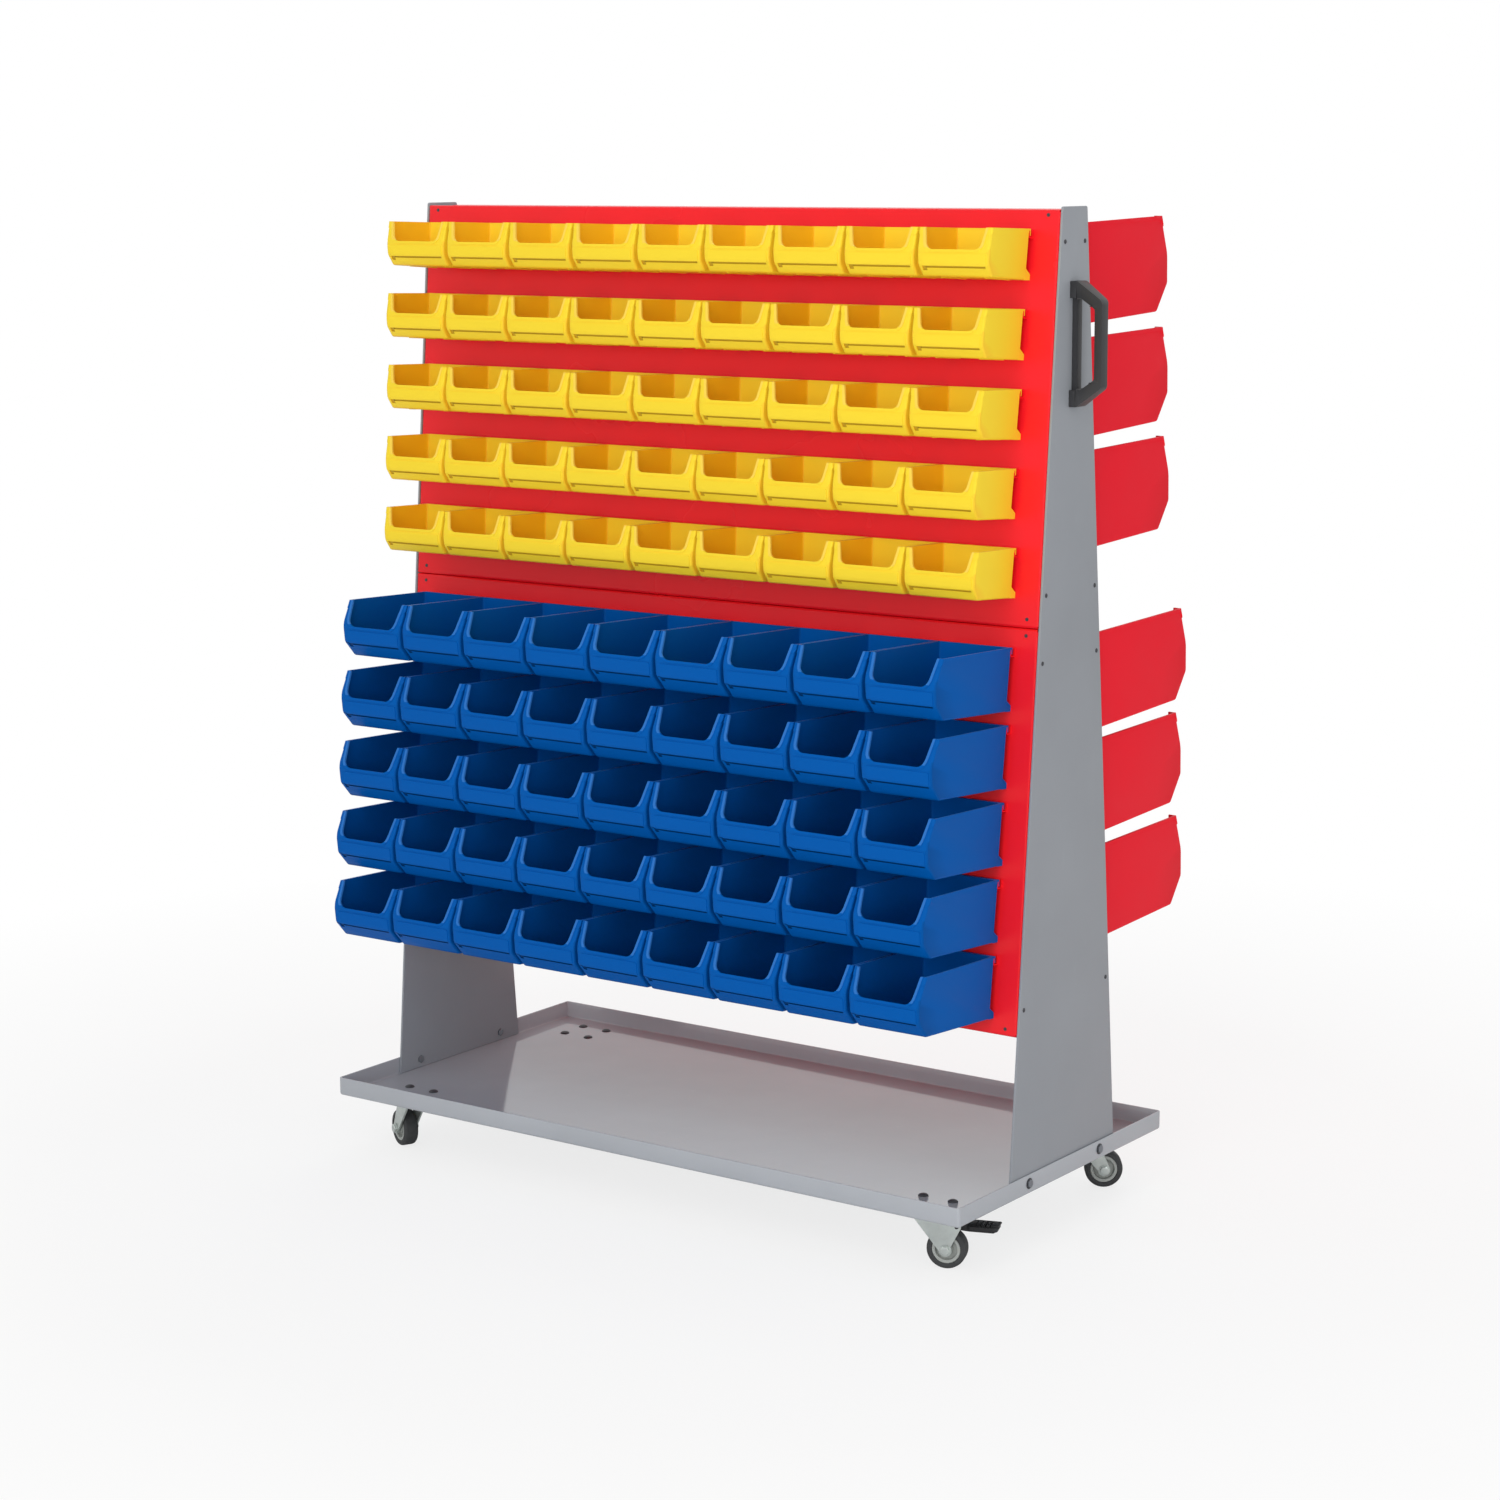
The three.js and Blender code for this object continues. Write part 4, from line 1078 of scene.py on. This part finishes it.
def fit_caster(name, side_x, side_y, heading, brake):
    base = ROOT @ moved(side_x * CASTER_X, side_y * CASTER_Y, 0)
    headed = base @ Matrix.Rotation(math.radians(heading), 4, "Z")
    at_wheel = headed @ moved(TRAIL, 0, WHEEL_R)
    caster, swivel, wheel = f"caster_{name}", f"{name}_swivel", f"{name}_wheel"

    def put(obj, label, material, body, slot, place, *nodes):
        obj.name = f"{caster}_{label}"
        finish_piece(obj, material, body, place, nodes)

    put(caster_plate(), "top_plate", ZINC, "frame", "zinc_steel", base, caster + "_mount")
    put(caster_bolts(), "bolts", DARK, "frame", "zinc_steel", base)
    put(caster_fork(brake), "yoke", ZINC, swivel, "zinc_steel", headed, caster + "_fork")
    put(caster_axle(), "axle_bolt", ZINC, swivel, "zinc_steel", headed, caster + "_axle")
    put(wheel_hub(), "wheel_centre", HUB, wheel, "hub_plastic", at_wheel, caster + "_hub")
    put(wheel_tyre(), "wheel_tyre", TYRE, wheel, "tyre_rubber", at_wheel, caster + "_tyre")
    if brake:
        put(brake_pedal(), "brake_lever", BLACK, f"{name}_brake", "black_plastic", headed,
            f"brake_pedal_{name}")


for name, values in CASTERS.items():
    fit_caster(name, *values)


# Camera, floor and light, in metres
WHITE = (1, 1, 1, 1)
LENS, SENSOR = 78.63, 36  # millimetres
CAMERA_TURN = (35.653, 10.313, -0.273)  # yaw, pitch and roll in degrees, solved from the photograph
CAMERA_AT = (2485.84, -3442.44, 1343.4)  # millimetres from the cart's middle and over the floor
WORLD_LIGHT = 0.5
FLOOR_HALF, FLOOR_DROP = 30, 0.0005
FADE_START, FADE_END = 0.95, 2.0  # where the floor turns all white, from the cart's middle
FADE_LEAST = 0.78  # of white, near the cart
LAMPS = {  # place, target, size, watts, seen in reflections
    "front": ((1.8, -4.8, 1.4), (0, 0, 0.7), (2.6, 1.8), 66, False),
    "key": ((1.0, -3.7, 3.4), (0, 0, 0.7), (2.4, 2.0), 30, True),
    "fill": ((4.4, -1.3, 1.2), (0, 0, 0.5), (2.4, 1.6), 20, True),
    "top": ((0.2, 0.4, 4.2), (0, 0, 0.5), (3.5, 3.0), 20, True),
    "back": ((-1.0, 3.8, 2.4), (0, 0, 0.7), (2.6, 2.2), 38, False),
}


def set_camera():
    data = bpy.data.cameras.new("photo_camera")
    data.sensor_width = SENSOR
    data.lens = LENS
    data.clip_end = 100
    camera = link("photo_camera", data)
    yaw, pitch, roll = (math.radians(v) for v in CAMERA_TURN)
    ahead = Vector((-math.sin(yaw) * math.cos(pitch), math.cos(yaw) * math.cos(pitch), -math.sin(pitch)))
    right = Vector((math.cos(yaw), math.sin(yaw), 0))
    up = right.cross(ahead)
    across = math.cos(roll) * right + math.sin(roll) * up
    upwards = -math.sin(roll) * right + math.cos(roll) * up
    turn = Matrix((across, upwards, -ahead)).transposed().to_4x4()
    camera.matrix_world = ROOT @ moved(*CAMERA_AT) @ turn
    scene.camera = camera


def combine(tree, operation, a, b):
    node = add_node(tree, "Math")
    node.operation = operation
    tree.links.new(a, node.inputs[0])
    tree.links.new(b, node.inputs[1])
    return node.outputs[0]


def mix_shaders(tree, factor, first, second, output):
    mix = add_node(tree, "MixShader")
    tree.links.new(factor, mix.inputs[0])
    tree.links.new(first.outputs[0], mix.inputs[1])
    tree.links.new(second.outputs[0], mix.inputs[2])
    tree.links.new(mix.outputs[0], output.inputs["Surface"])


def set_world():
    """Even light from all round. The camera, reflections and refractions see plain white."""
    world = bpy.data.worlds.new("studio")
    scene.world = world
    world.use_nodes = True
    tree = world.node_tree
    even = tree.nodes["Background"]
    even.inputs["Color"].default_value = WHITE
    even.inputs["Strength"].default_value = WORLD_LIGHT
    path = add_node(tree, "LightPath")
    white = add_node(tree, "Background", Color=WHITE, Strength=1.0)
    seen = combine(tree, "MAXIMUM", path.outputs["Is Camera Ray"], path.outputs["Is Glossy Ray"])
    seen = combine(tree, "MAXIMUM", seen, path.outputs["Is Transmission Ray"])
    mix_shaders(tree, seen, even, white, tree.nodes["World Output"])


def set_floor():
    """Pale matt floor that holds the shadow near the cart and turns white further out."""
    bm = bmesh.new()
    corners = ((-1, -1), (1, -1), (1, 1), (-1, 1))
    bm.faces.new([bm.verts.new((x * FLOOR_HALF, y * FLOOR_HALF, 0)) for x, y in corners])
    floor = from_bmesh("floor", bm)
    material, tree, shader = new_material("pale_floor")
    cloud = noise(tree, scale=3, detail=2)
    tones = ramp(tree, cloud, [(0.0, shade(WHITE, 0.9)), (1.0, shade(WHITE, 0.94))])
    tree.links.new(tones, shader.inputs["Base Color"])
    shader.inputs["Roughness"].default_value = 0.9
    shader.inputs["Specular IOR Level"].default_value = 0.1
    far = add_node(tree, "VectorMath")
    far.operation = "LENGTH"
    tree.links.new(add_node(tree, "TexCoord").outputs["Object"], far.inputs[0])
    path = add_node(tree, "LightPath")
    fade = spread(tree, far.outputs["Value"], FADE_LEAST, 1.0, start=FADE_START, end=FADE_END)
    fade = combine(tree, "MULTIPLY", fade, path.outputs["Is Camera Ray"])
    glow = add_node(tree, "Emission")
    mix_shaders(tree, fade, shader, glow, tree.nodes["Material Output"])
    floor.data.materials.append(material)
    floor.location.z = -FLOOR_DROP


def area_light(name, at, target, size, power, in_reflections):
    data = bpy.data.lights.new(name, "AREA")
    data.shape = "RECTANGLE"
    data.size, data.size_y = size
    data.energy = power
    lamp = link(name, data)
    lamp.location = at
    lamp.rotation_euler = (Vector(target) - Vector(at)).to_track_quat("-Z", "Y").to_euler()
    lamp.visible_glossy = in_reflections


set_camera()
set_world()
set_floor()
for name, values in LAMPS.items():
    area_light(name, *values)
scene.view_settings.view_transform = "Standard"
